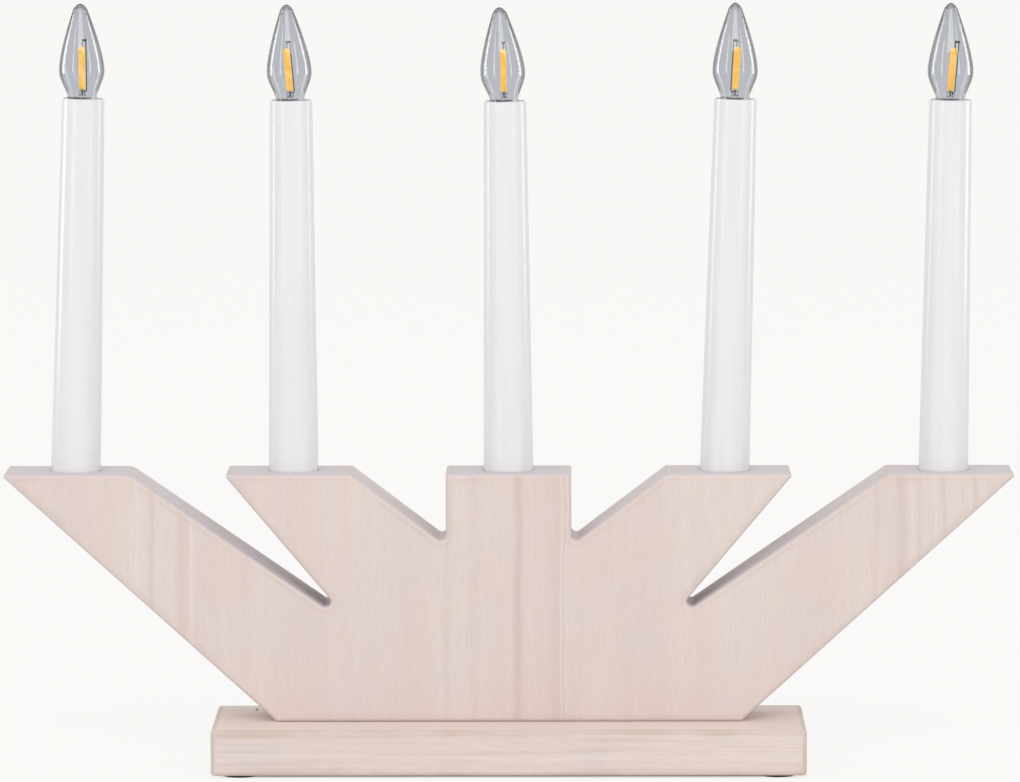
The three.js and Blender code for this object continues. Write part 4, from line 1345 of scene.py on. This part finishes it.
def glass_profile(girth, height):
    """The closed outline of a glass: up its outside, down its inside and round its neck.

    The wall is thicker towards the tip. The foot turns in to the neck along the parabola
    (1-t)^2 a + 2t(1-t) b + t^2 c.
    """
    wall = GLASS["wall"]
    thicker = GLASS["tip_wall"] - wall
    start = height - GLASS["dome"]
    outer = lambda level: glass_radius(level, girth, height)
    inner = lambda level: outer(level) - wall - thicker * tip_share(level, height)
    outside = domed(outer, GLASS_FOOT, start, height, GLASS_ROWS)
    within = domed(inner, GLASS_FOOT, start, height - GLASS["tip_wall"], GLASS_ROWS)
    t = np.linspace(0, 1, 9)[1:, None]
    corner = np.array([outside[0, 0] - 0.1, GLASS_FLOOR])
    bend = (1 - t) ** 2 * outside[0] + 2 * t * (1 - t) * corner + t**2 * (neck_radius, GLASS_FLOOR - 0.05)
    neck = np.vstack([bend, [(neck_radius, neck_top - GLASS["neck"])]])
    bore = neck - (wall, 0)
    bore[:4, 1] += wall / 2
    return np.vstack([outside, within[::-1], bore, neck[::-1]])


print("bellies are", sorted(2 * girth for girth in GLASS_GIRTH.values()), "mm across")

# %% Clear glass recipe
GLASS_TINT = tone(223, 225, 229)
# A nearly black colour painted on the glass where it is seen edge on: painted shade for its dark edges,
# weaker at the foot and stronger towards the tip.
PAINTED_EDGE_SHADE = tone(34, 34, 38)
EDGE_SHADE_START, EDGE_SHADE_END = 0.42, 0.8
FOOT_GAIN, TIP_GAIN = 0.35, 1.8
FOOT_FADE = 3.0
SMOKE_DENSITY = 160.0
SMOKE_TINT = tone(150, 152, 160)


def clear_glass(name, tint, density, roughness):
    """Clear glass with shallow waves from blowing, whose body takes more light the longer the way.

    Where it is seen edge on, the way through the wall is longest, and its colour is painted nearly
    black as well: painted shade for the dark edges. An attribute on the mesh says how strongly.
    """
    glass = Recipe(name, IOR=1.5)
    glass.shader.inputs["Transmission Weight"].default_value = 1.0
    wave = glass.noise((6.0, 6.0, 14.0), detail=1)
    # Where the glass is seen edge on, its colour is painted nearly black: painted shade for its dark edges.
    edge_on = glass.node("ShaderNodeLayerWeight").outputs["Facing"]
    gain = glass.node("ShaderNodeAttribute", attribute_name="edge_shade_gain").outputs["Fac"]
    rim = glass.ramp(glass.math("MULTIPLY", edge_on, gain), EDGE_SHADE_START, EDGE_SHADE_END)
    glass.into("Base Color", glass.mix(rim, glass.mix(wave, tint, dimmed(tint, 0.98)), PAINTED_EDGE_SHADE))
    glass.into("Roughness", glass.ramp(wave, 0.3, 0.7, roughness, roughness + 0.01))
    glass.bump(wave, 0.08, 0.2)
    body = glass.node("ShaderNodeVolumeAbsorption")
    body.inputs["Color"].default_value = SMOKE_TINT
    body.inputs["Density"].default_value = density
    glass.tree.links.new(body.outputs[0], glass.tree.nodes["Material Output"].inputs["Volume"])
    return glass.material


bulb_glass = clear_glass("lamp_glass", GLASS_TINT, SMOKE_DENSITY, 0.0)
stem_glass = clear_glass("stem_glass", tone(244, 246, 248), 20.0, 0.02)
print("glass takes", SMOKE_DENSITY, "parts of light a metre")

# %% Glasses and their cement
CEMENT = {"outer": 5.3, "inner": 5.17, "under": 0.22, "gap": 0.06, "ease": 0.02}


def keep_edge_shade_gain(piece, number):
    """Stores how strong the painted edge shade of the glass is: weak where the foot goes into the
    holder, 1 on the body, strong at the tip.
    """
    pivot, lean = lamp_places[number]
    up = np.array([math.sin(lean), 0, math.cos(lean)])
    level = (corners_of(piece) - pivot) @ up - PIVOT_UNDER_RIM
    foot = FOOT_GAIN + (1 - FOOT_GAIN) * np.clip(level / FOOT_FADE, 0, 1)
    return keep(piece, "edge_shade_gain", foot + (TIP_GAIN - 1) * tip_share(level, GLASS_HEIGHT[number]))


cement_profile = [
    (neck_radius + CEMENT["gap"], neck_top - CEMENT["under"], 0),
    (CEMENT["outer"], neck_top - CEMENT["under"], CEMENT["ease"]),
    (CEMENT["outer"], GLASS_FOOT + 0.06, CEMENT["ease"]),
    (CEMENT["inner"], GLASS_FOOT + 0.1, CEMENT["ease"]),
    (CEMENT["inner"], GLASS_FLOOR, CEMENT["ease"]),
    (neck_radius + CEMENT["gap"], GLASS_FLOOR - 0.15, CEMENT["ease"]),
]
for number in CANDLES:
    place = on_lamp(number)
    outline = glass_profile(GLASS_GIRTH[number], GLASS_HEIGHT[number])
    points = revolve(outline, GLASS_SIDES)
    faces = grid_faces(len(outline), GLASS_SIDES, closed_rows=True, closed_columns=True)
    envelope = shade(new_piece(f"glass_envelope_{number}", place(points.reshape(-1, 3)), faces))
    keep_edge_shade_gain(envelope, number)
    stand_for(envelope, f"bulb_body_{number}", "clear_glass", bulb_glass, f"bulb_glass_{number}")
    cement = ring_turned(f"cement_ring_{number}", cement_profile, 64, place)
    stand_for(cement, f"bulb_body_{number}", "holder_plastic", holder_plastic)
print("glass faces:", len(envelope.data.polygons))

# %% [markdown]
# Filament stick and its wires
#
# Inside each glass stands one filament stick: a row of tiny diodes under a yellow coating, about as
# thick as a matchstick and 15 mm long. A bent steel wire beside it carries its upper end from a short
# dark cross piece, and a glass bead holds both feet. The stick is a bar of superellipse section
# whose ends draw in by a quarter circle. It is turned and tilted differently in every lamp, as in
# any batch of real ones, and the coating glows a little.

# %% Amber coating recipe
STICK = {"radius": 1.15, "bottom": 3.1, "top": 18.1, "power": 2.6, "flat": 0.92, "end": 0.9}
STICK_SIDES, STICK_ROWS = 32, 40
STICK_TURN = {1: 0, 2: 15, 3: 85, 4: 190, 5: -10}
STICK_TILT = {1: 0.5, 2: -2.8, 3: 2.2, 4: 3.4, 5: 4.6}
AMBER = tone(253, 186, 56)
AMBER_PALE = tone(255, 206, 104)


def amber_coating():
    """Yellow silicone over the diodes, glowing softly, with paler beads where each diode sits."""
    coat = Recipe("amber_coating", Roughness=0.42, IOR=1.43)
    bead = coat.noise((2.5, 2.5, 2.6), detail=1)
    colour = coat.mix(coat.ramp(bead, 0.4, 0.72), AMBER, AMBER_PALE)
    coat.into("Base Color", colour)
    coat.into("Emission Color", colour)
    coat.shader.inputs["Emission Strength"].default_value = 0.85
    coat.bump(bead, 0.05, 0.3)
    return coat.material


amber = amber_coating()
print("stick is", round(STICK["top"] - STICK["bottom"], 2), "mm long")

# %% Shapes of stick and stem
STEM = {"radius": 1.0, "top": 3.2, "foot": 0.6, "dome": 0.8}
BEAD = {"radius": 1.6, "height": 2.0, "width": 0.75}


def stick_points():
    """Superellipse |x|^p + |y|^p = 1, carried up and drawn in by a quarter circle at both ends.

    Its radius swells a little in two sine waves, because the coating is laid on by hand.
    """
    angle = np.arange(STICK_SIDES) / STICK_SIDES * 2 * math.pi
    power = 2 / STICK["power"]
    x = np.sign(np.cos(angle)) * np.abs(np.cos(angle)) ** power
    y = np.sign(np.sin(angle)) * np.abs(np.sin(angle)) ** power
    share = (1 - np.cos(np.linspace(0, math.pi, STICK_ROWS))) / 2
    height = STICK["bottom"] + (STICK["top"] - STICK["bottom"]) * share
    ends = np.minimum(height - STICK["bottom"], STICK["top"] - height)
    drawn = np.clip(ends / STICK["end"], 0, 1)
    swell = 1 + 0.02 * np.sin(height * 2.3) + 0.015 * np.sin(height * 5.1)
    radius = STICK["radius"] * np.sqrt(1 - (1 - drawn) ** 2) * swell
    level = np.broadcast_to(height[:, None], (STICK_ROWS, STICK_SIDES))
    return np.stack([radius[:, None] * x, STICK["flat"] * radius[:, None] * y, level], axis=-1)


def stem_profile():
    """A flared foot, a thin stem and a bead.

    The foot falls off as exp(-x), the bead swells as exp(-x^2), and the top closes as a square root.
    """
    height = np.linspace(neck_top - GLASS["neck"], STEM["top"], 48)
    foot = np.exp(-(height - height[0]) / STEM["foot"])
    bead = np.exp(-(((height - BEAD["height"]) / BEAD["width"]) ** 2))
    radius = STEM["radius"] + (neck_radius - GLASS["wall"] - GAP - STEM["radius"]) * foot
    radius = radius + (BEAD["radius"] - STEM["radius"]) * bead
    close = np.sqrt(np.clip((STEM["top"] - height) / STEM["dome"], 0, 1))
    return np.vstack([(0, height[0]), np.column_stack([radius * close, height])])


print("stick's points:", stick_points().shape)

# %% Bent paths
HANGER = {"offset": 1.55, "radius": 0.2}
CROSS = {"height": 20.3, "inner": 0.35, "half": 0.42, "over": 0.25}


def bent(corners, bend, steps=8):
    """A path with its corners rounded by parabolas.

    Between two points on either side of a corner it follows (1-t)^2 a + 2t(1-t) corner + t^2 b.
    """
    corners = np.asarray(corners, float)
    bends = np.broadcast_to(bend, len(corners))
    path = [corners[:1]]
    for before, corner, after, reach in zip(corners, corners[1:], corners[2:], bends[1:]):
        back = (before - corner) / np.linalg.norm(before - corner)
        on = (after - corner) / np.linalg.norm(after - corner)
        half = math.acos(np.clip(back @ on, -1, 1)) / 2
        far = reach / math.tan(half)
        t = np.linspace(0, 1, steps)[:, None]
        start, end = corner + far * back, corner + far * on
        path.append((1 - t) ** 2 * start + 2 * t * (1 - t) * corner + t**2 * end)
    return np.vstack([*path, corners[-1:]])


hanger_path = bent(
    [
        (0.5, 0, BEAD["height"]),
        (HANGER["offset"], 0, BEAD["height"] + 0.9),
        (HANGER["offset"], 0, CROSS["height"]),
    ],
    0.8,
)
link_path = [(CROSS["inner"], 0, CROSS["height"]), (CROSS["inner"], 0, STICK["top"] - 0.5)]
foot_path = [(0, 0, BEAD["height"] - 0.5), (0, 0, STICK["bottom"] + 0.3)]
cross_corners = rectangle(
    CROSS["inner"] - CROSS["over"],
    HANGER["offset"] + CROSS["over"],
    CROSS["height"] - CROSS["half"],
    CROSS["height"] + CROSS["half"],
    0.1,
)
print("points along the hanger:", len(hanger_path))

# %% Filament pieces
for number in CANDLES:
    body = f"bulb_body_{number}"
    turn = math.radians(STICK_TURN[number])
    tilt = math.radians(STICK_TILT[number])
    upright = on_lamp(number, turn)
    pivot = np.array([0, 0, STICK["bottom"]])
    across = Matrix.Rotation(-turn, 3, "Z") @ Matrix.Rotation(tilt, 3, "Y") @ Matrix.Rotation(turn, 3, "Z")
    tilted = lambda points, way=np.array(across), on=upright: on((points - pivot) @ way.T + pivot)

    faces = grid_faces(STICK_ROWS, STICK_SIDES, closed_columns=True)
    stick = new_piece(f"led_stick_{number}", tilted(stick_points().reshape(-1, 3)), faces)
    stand_for(shade(stick), body, "amber_filament", amber, f"filament_mount_{number}")
    stem = solid_turned(f"stem_bead_{number}", stem_profile(), 48, upright)
    stand_for(stem, body, "clear_glass", stem_glass)
    for name, path, way in (
        ("hanger_wire", hanger_path, tilted),
        ("link_wire", link_path, tilted),
        ("foot_wire", foot_path, upright),
    ):
        lead = tube_piece(f"{name}_{number}", path, HANGER["radius"], 12, way)
        stand_for(lead, body, "amber_filament", lead_steel)
    cross = slab(f"cross_piece_{number}", cross_corners, -CROSS["half"], CROSS["half"], 0, (0, 2, 1))
    move_corners(cross, tilted(corners_of(cross)))
    stand_for(shade(cross), body, "amber_filament", cross_steel)
print("filament pieces:", 6 * len(CANDLES))

# %% [markdown]
# Wires in the back
#
# The five lamps are wired in a row. From each holder two thin wires run down the tube, through the
# slanted hole and along the groove in the back of the panel. Neighbours join in the pocket at the
# foot, and the first and last wire go down through the base to the terminal block. These wires are
# held all along by wood, so they are plain swept circles on the same routes as in the construction.

# %% Wire recipe


def insulation():
    """Soft white plastic over the wire, with a faint sheen and slight soiling."""
    soft = Recipe("wire_white", Roughness=0.4, IOR=1.47)
    soil = soft.noise((6, 6, 6), detail=3)
    soiled = soft.ramp(soil, 0.45, 0.75, 0, 0.6)
    soft.into("Base Color", soft.mix(soiled, tone(229, 228, 225), tone(214, 211, 204)))
    soft.into("Roughness", soft.ramp(soil, 0.3, 0.7, 0.35, 0.5))
    soft.bump(soil, 0.05, 0.2)
    return soft.material


wire_white = insulation()
print("insulation recipe uses", len(wire_white.node_tree.nodes), "nodes")

# %% Sizes of the wires' ways
PAIR_OFFSET = 1.5
LANE_OFFSET = 1.3
WIRE_BEND = 4.0
TIGHT_BEND = 2.9
BEND_STEPS = 9
OUTER_LOOP = [(31, 7.5), (22.5, 8.6), (21.5, 13.6)]
INNER_LOOP = [(11, 8.8), (LANE_OFFSET, 11.1)]
FEED_TURN = (28.7, 3.0)
FEED_PAIR = 2.0
terminal_low = box_mm("terminal_block")[0]
WAY_HALF_PITCH = 4.0
WIRE_REACH = 6.0
wire_top = TUBE_LENGTH + holder_floor_top - 2 * GAP
print("wires start", round(TUBE_LENGTH - wire_top, 1), "mm under the rims")

# %% Wire routes


def wire_down(number, lane):
    """Points from inside the holder down the tube and the slanted hole, into the groove."""
    start, end = groove_start(number), groove_end(number)
    ahead = (start - end) / np.linalg.norm(start - end)
    across = np.array([ahead[1], -ahead[0]]) * lane * LANE_OFFSET
    x = lane * PAIR_OFFSET
    top = TUBE_RAISED[number] + wire_top
    inner = on_seat(number)(np.array([[x, 0, top], [x, 0, 2 * WIRE_BEND]]))
    turn = np.array([candle_places[number][0][0], seat_floor + WIRE_RADIUS]) + across
    outer = [
        (turn[0], panel_middle, turn[1]),
        (start[0] + across[0], wire_depth, start[1] + across[1]),
        (end[0] + across[0], wire_depth, end[1] + across[1]),
    ]
    return [*map(tuple, inner), *outer]


def jumper(left, right, loop):
    """From the left lamp of a pair to the right one, by a loop in the wiring pocket."""
    side = side_of((left + right) / 2)
    turns = [(side * x, wire_depth, base_top + height) for x, height in loop]
    turns = turns if side < 0 else turns[::-1]
    return bent([*wire_down(left, 1), *turns, *wire_down(right, -1)[::-1]], WIRE_BEND, BEND_STEPS)


def feed(number):
    """From an end lamp down through the base and into its way of the terminal block."""
    side = side_of(number)
    way_y = panel_middle + side * WAY_HALF_PITCH
    x = side * FEED_PAIR
    level = bush_middle[2]
    corners = [
        *wire_down(number, side),
        (side * FEED_TURN[0], wire_depth, base_top + FEED_TURN[1]),
        (x, wire_depth, base_top + FEED_TURN[1]),
        (x, wire_depth, level),
        (x, way_y, level),
        (terminal_low[0] + WIRE_REACH, way_y, level),
    ]
    bends = [WIRE_BEND] * (len(corners) - 4) + [TIGHT_BEND] * 3 + [WIRE_BEND]
    return bent(corners, bends, BEND_STEPS)


wire_routes = {
    "feed_wire_left": feed(1),
    "jumper_wire_1_2": jumper(1, 2, OUTER_LOOP),
    "jumper_wire_2_3": jumper(2, 3, INNER_LOOP),
    "jumper_wire_3_4": jumper(3, 4, INNER_LOOP),
    "jumper_wire_4_5": jumper(4, 5, OUTER_LOOP),
    "feed_wire_right": feed(5),
}
for node, route in wire_routes.items():
    strand = tube_piece(f"round_{node}", route, WIRE_RADIUS, 20)
    stand_for(strand, "root", "wire_insulation", wire_white, node)
    print(node, round(float(np.linalg.norm(np.diff(route, axis=0), axis=1).sum())), "mm")

# %% [markdown]
# Underside and back fittings
#
# Four thin round pads lift the base off the table, and a hardboard cover closes the pocket under
# it. Two long screws hold the panel from below, and two short ones hold the cover. In the rear edge
# a white bush lines the hole where a supply cord would go in. All are turned or slab pieces again.

# %% Recipes for the fittings


def rubber():
    """Matt black rubber with a fine pitted skin."""
    matt = Recipe("pad_rubber", Roughness=0.85)
    pits = matt.noise((0.5, 0.5, 0.5), detail=3)
    matt.into("Base Color", matt.mix(pits, tone(34, 32, 31), tone(52, 49, 47)))
    matt.into("Roughness", matt.ramp(pits, 0.3, 0.7, 0.75, 0.92))
    matt.bump(pits, 0.08, 0.5)
    return matt.material


def hardboard():
    """Pressed brown fibre board with dark and light fibres in all directions."""
    board = Recipe("cover_hardboard", Roughness=0.8)
    fibres = board.noise((1.4, 0.5, 0.5), detail=5, roughness=0.7)
    patches = board.noise((9, 9, 9), detail=2)
    colour = board.mix(board.ramp(fibres, 0.35, 0.65), tone(112, 82, 58), tone(152, 119, 88))
    board.into("Base Color", board.mix(board.ramp(patches, 0.4, 0.7, 0, 0.4), colour, tone(126, 96, 70)))
    board.into("Roughness", board.ramp(fibres, 0.3, 0.7, 0.7, 0.88))
    board.bump(fibres, 0.06, 0.4)
    return board.material


pad_rubber = rubber()
cover_hardboard = hardboard()
print("fitting recipes are ready")

# %% Pads and cover
PAD_NODES = [f"foot_pad_{row}_{side}" for row in ("front", "rear") for side in ("left", "right")]
for node in PAD_NODES:
    low, high = box_mm(node)
    middle = np.array([(low[0] + high[0]) / 2, (low[1] + high[1]) / 2, 0])
    radius, foot, top = (high[0] - low[0]) / 2, low[2], high[2]
    profile = rounded_profile([(0, foot, 0), (radius, foot, 0.25), (radius, top, 0.15), (0, top, 0)])
    pad = solid_turned(f"round_{node}", profile, 64, lambda points, at=middle: points + at)
    stand_for(pad, "root", "black_pad", pad_rubber, node)

cover_plate = slab("cover_plate", cover_corners(0), cover_low[2], cover_high[2], 0, BASE_AXES)
shade(carve(cover_plate, screw_rooms(("cover",))))
stand_for(cover_plate, "root", "hardboard", cover_hardboard, "base_cover")
print("pads:", len(PAD_NODES), "and cover faces:", len(cover_plate.data.polygons))

# %% Screws
RECESS = {"arms": (0.62, 0.16), "depth": 0.55}


def screw_profile(screw):
    """A countersunk wood screw, head down: a shallow dish edge, the cone, the shank and the point."""
    return [
        (0, 0),
        (screw["head_radius"] - 0.15, 0),
        (screw["head_radius"], 0.15),
        (screw["radius"], screw["head_height"]),
        (screw["radius"], screw["length"] - screw["point"]),
        (0.15, screw["length"]),
        (0, screw["length"]),
    ]


for (kind, side), (x, y) in SCREW_PLACES.items():
    screw, foot = SCREWS[kind], cover_low[2]
    raised = lambda points, at=np.array([x, y, foot]): points + at
    made = solid_turned(f"wood_screw_{kind}_{side}", screw_profile(screw), 40, raised)
    arm, width = (share * screw["head_radius"] for share in RECESS["arms"])
    deep = foot + RECESS["depth"] * screw["head_height"]
    recess = [
        slab("recess_x", rectangle(x - arm, x + arm, y - width, y + width, 0), foot - 1, deep, 0, BASE_AXES),
        slab("recess_y", rectangle(x - width, x + width, y - arm, y + arm, 0), foot - 1, deep, 0, BASE_AXES),
    ]
    shade(carve(made, recess))
    stand_for(made, "root", "zinc_steel", zinc, f"{kind}_screw_{side}")

print("faces of the last screw:", len(made.data.polygons))

# %% Bush and terminal block
bush_length = bush_high[1] - bush_low[1]
bush_profile = [
    (BUSH["bore"], 0, 0.3),
    (BUSH["shank"], 0, 0.15),
    (BUSH["shank"], bush_length - BUSH["thickness"], 0.05),
    (BUSH["flange"], bush_length - BUSH["thickness"], 0.1),
    (BUSH["flange"], bush_length, 0.4),
    (BUSH["bore"], bush_length, 0.4),
]
bush_start = np.array([bush_middle[0], bush_low[1], bush_middle[2]])
bush = ring_turned("inlet_ring", bush_profile, 64, lambda points: points[:, [0, 2, 1]] + bush_start)
stand_for(bush, "root", "white_plastic", holder_plastic, "cord_inlet_bush")
finish(frame["nodes"]["terminal_block"], holder_plastic)
print("bush is", round(float(bush_length), 2), "mm long")

# %% [markdown]
# Table, light and camera
#
# The picture is a plain studio shot. The table is pale, and the camera, glossy and transmitted rays
# see white behind the object, so that glass and gloss have the same surroundings as the picture.
# A part of the table's own shade is kept, so that the object's soft shadow stays. A broad lamp high
# in front gives even light. Two tall strips a little behind the object on both sides draw the bright
# lines in glass and tubes, and light nothing matt. Two more in front draw the inner lines. The camera
# stands far off with a long lens, and looks down by six degrees.

# %% Table
TABLE_WHITE = tone(255, 254, 252)
TABLE_GLOW = 0.83
SHADE_START, SHADE_DEEP = 2.5, 8.0
TABLE_SIZE = 60.0


def seen_directly(tree):
    """1 for camera, glossy and transmitted rays, 0 for the rays that light a matt surface."""
    path = tree.nodes.new("ShaderNodeLightPath")
    total = path.outputs["Is Camera Ray"]
    for name in ("Is Glossy Ray", "Is Transmission Ray"):
        pick = tree.nodes.new("ShaderNodeMath")
        pick.operation = "MAXIMUM"
        tree.links.new(total, pick.inputs[0])
        tree.links.new(path.outputs[name], pick.inputs[1])
        total = pick.outputs[0]
    return total


def table_material():
    """A pale matt table that keeps part of the shadow and is otherwise the backdrop's white.

    Deep under the base board, where no light comes, it doesn't glow at all.
    """
    table = Recipe("pale_table", Base_Color=tone(238, 237, 235), Roughness=0.9)
    table.shader.inputs["Specular IOR Level"].default_value = 0.0
    glow = table.node("ShaderNodeEmission")
    glow.inputs["Color"].default_value = TABLE_WHITE
    lit = 0.0
    for axis in (0, 1):
        away = table.math("ABSOLUTE", table.along(axis))
        dark, light = ((base_high[axis] - reach) * MM for reach in (SHADE_DEEP, SHADE_START))
        lit = table.math("MAXIMUM", lit, table.ramp(away, dark, light))
    share = table.math("MULTIPLY", lit, table.math("MULTIPLY", seen_directly(table.tree), TABLE_GLOW))
    blend = table.node("ShaderNodeMixShader")
    table.feed(share, blend.inputs[0])
    table.feed(table.shader.outputs[0], blend.inputs[1])
    table.feed(glow.outputs[0], blend.inputs[2])
    table.feed(blend.outputs[0], table.tree.nodes["Material Output"].inputs["Surface"])
    return table.material


half = TABLE_SIZE / 2 / MM
table_points = [(-half, -half, 0), (half, -half, 0), (half, half, 0), (-half, half, 0)]
table = new_piece("table", table_points, [(0, 1, 2, 3)])
table.data.materials.append(table_material())
print("table is", TABLE_SIZE, "m wide")

# %% World
BACKDROP = tone(249, 248, 246)
AMBIENT = 0.76
world = bpy.data.worlds.new("studio")
bpy.context.scene.world = world
world.use_nodes = True
sky = world.node_tree
ambient = sky.nodes["Background"]
ambient.inputs["Color"].default_value = (1.0, 1.0, 1.0, 1.0)
ambient.inputs["Strength"].default_value = AMBIENT
white = sky.nodes.new("ShaderNodeBackground")
white.inputs["Color"].default_value = BACKDROP
pick = sky.nodes.new("ShaderNodeMixShader")
sky.links.new(seen_directly(sky), pick.inputs[0])
sky.links.new(ambient.outputs[0], pick.inputs[1])
sky.links.new(white.outputs[0], pick.inputs[2])
sky.links.new(pick.outputs[0], sky.nodes["World Output"].inputs["Surface"])
print("ambient strength", AMBIENT)

# %% Lamps
AIM = Vector((0, 0, 0.13))
STRIP = {"height": 0.62, "distance": 1.3, "size": (0.34, 1.15), "radiance": 5.0}
INNER = {"height": 0.65, "distance": 1.8, "size": (0.24, 1.2), "radiance": 3.0}
LAMPS = {
    "front_soft": {"azimuth": 0, "height": 2.1, "distance": 2.6, "size": (2.2, 1.3), "radiance": 2.6},
    "strip_left": {"azimuth": 103, **STRIP},
    "strip_right": {"azimuth": -103, **STRIP},
    "inner_left": {"azimuth": 46, **INNER},
    "inner_right": {"azimuth": -46, **INNER},
}
GLOSS_ONLY = ("strip_left", "strip_right")


def add_lamp(name, azimuth, height, distance, size, radiance):
    """A flat lamp aimed level at the object's axis, or down at it where the lamp stands high.

    Its power is pi times its area times its radiance.
    """
    light = bpy.data.lights.new(name, "AREA")
    light.shape = "RECTANGLE"
    light.size, light.size_y = size
    light.energy = math.pi * size[0] * size[1] * radiance
    lamp = bpy.data.objects.new(name, light)
    turn = math.radians(azimuth)
    lamp.location = (-distance * math.sin(turn), -distance * math.cos(turn), height)
    aim = AIM if height > 1 else Vector((0, 0, height))
    lamp.rotation_euler = (aim - lamp.location).to_track_quat("-Z", "Y").to_euler()
    lamp.visible_diffuse = name not in GLOSS_ONLY
    bpy.context.scene.collection.objects.link(lamp)
    return lamp


for name, values in LAMPS.items():
    lamp = add_lamp(name, **values)
    print(name, round(lamp.data.energy, 2), "W")

# %% Camera
CAMERA = {"place": (20.6, -2504.2, 400.0), "pitch": 6.088, "yaw": -0.459, "roll": -0.129, "focal": 7175.7}
IMAGE_WIDTH = 1020
SENSOR = 36.0


def add_camera():
    """Looks along +Y, turned by the yaw, lowered by the pitch and rolled about its own view."""
    pitch, yaw, roll = (math.radians(CAMERA[name]) for name in ("pitch", "yaw", "roll"))
    ahead = Vector((math.sin(yaw) * math.cos(pitch), math.cos(yaw) * math.cos(pitch), -math.sin(pitch)))
    level = Vector((math.cos(yaw), -math.sin(yaw), 0))
    raised = level.cross(ahead)
    right = math.cos(roll) * level + math.sin(roll) * raised
    up = -math.sin(roll) * level + math.cos(roll) * raised
    data = bpy.data.cameras.new("studio_camera")
    data.sensor_width = SENSOR
    data.lens = CAMERA["focal"] * SENSOR / IMAGE_WIDTH
    data.clip_end = 100.0
    camera = bpy.data.objects.new("studio_camera", data)
    turned = Matrix((right, up, -ahead)).transposed().to_4x4()
    camera.matrix_world = Matrix.Translation(Vector(CAMERA["place"]) * MM) @ turned
    bpy.context.scene.collection.objects.link(camera)
    return camera


bpy.context.scene.camera = add_camera()
bpy.context.scene.view_settings.view_transform = "Standard"
print("lens", round(bpy.context.scene.camera.data.lens, 1), "mm")

# %% [markdown]
# Last step
#
# The view layer is brought up to date.

# %% Finish
bpy.context.view_layer.update()
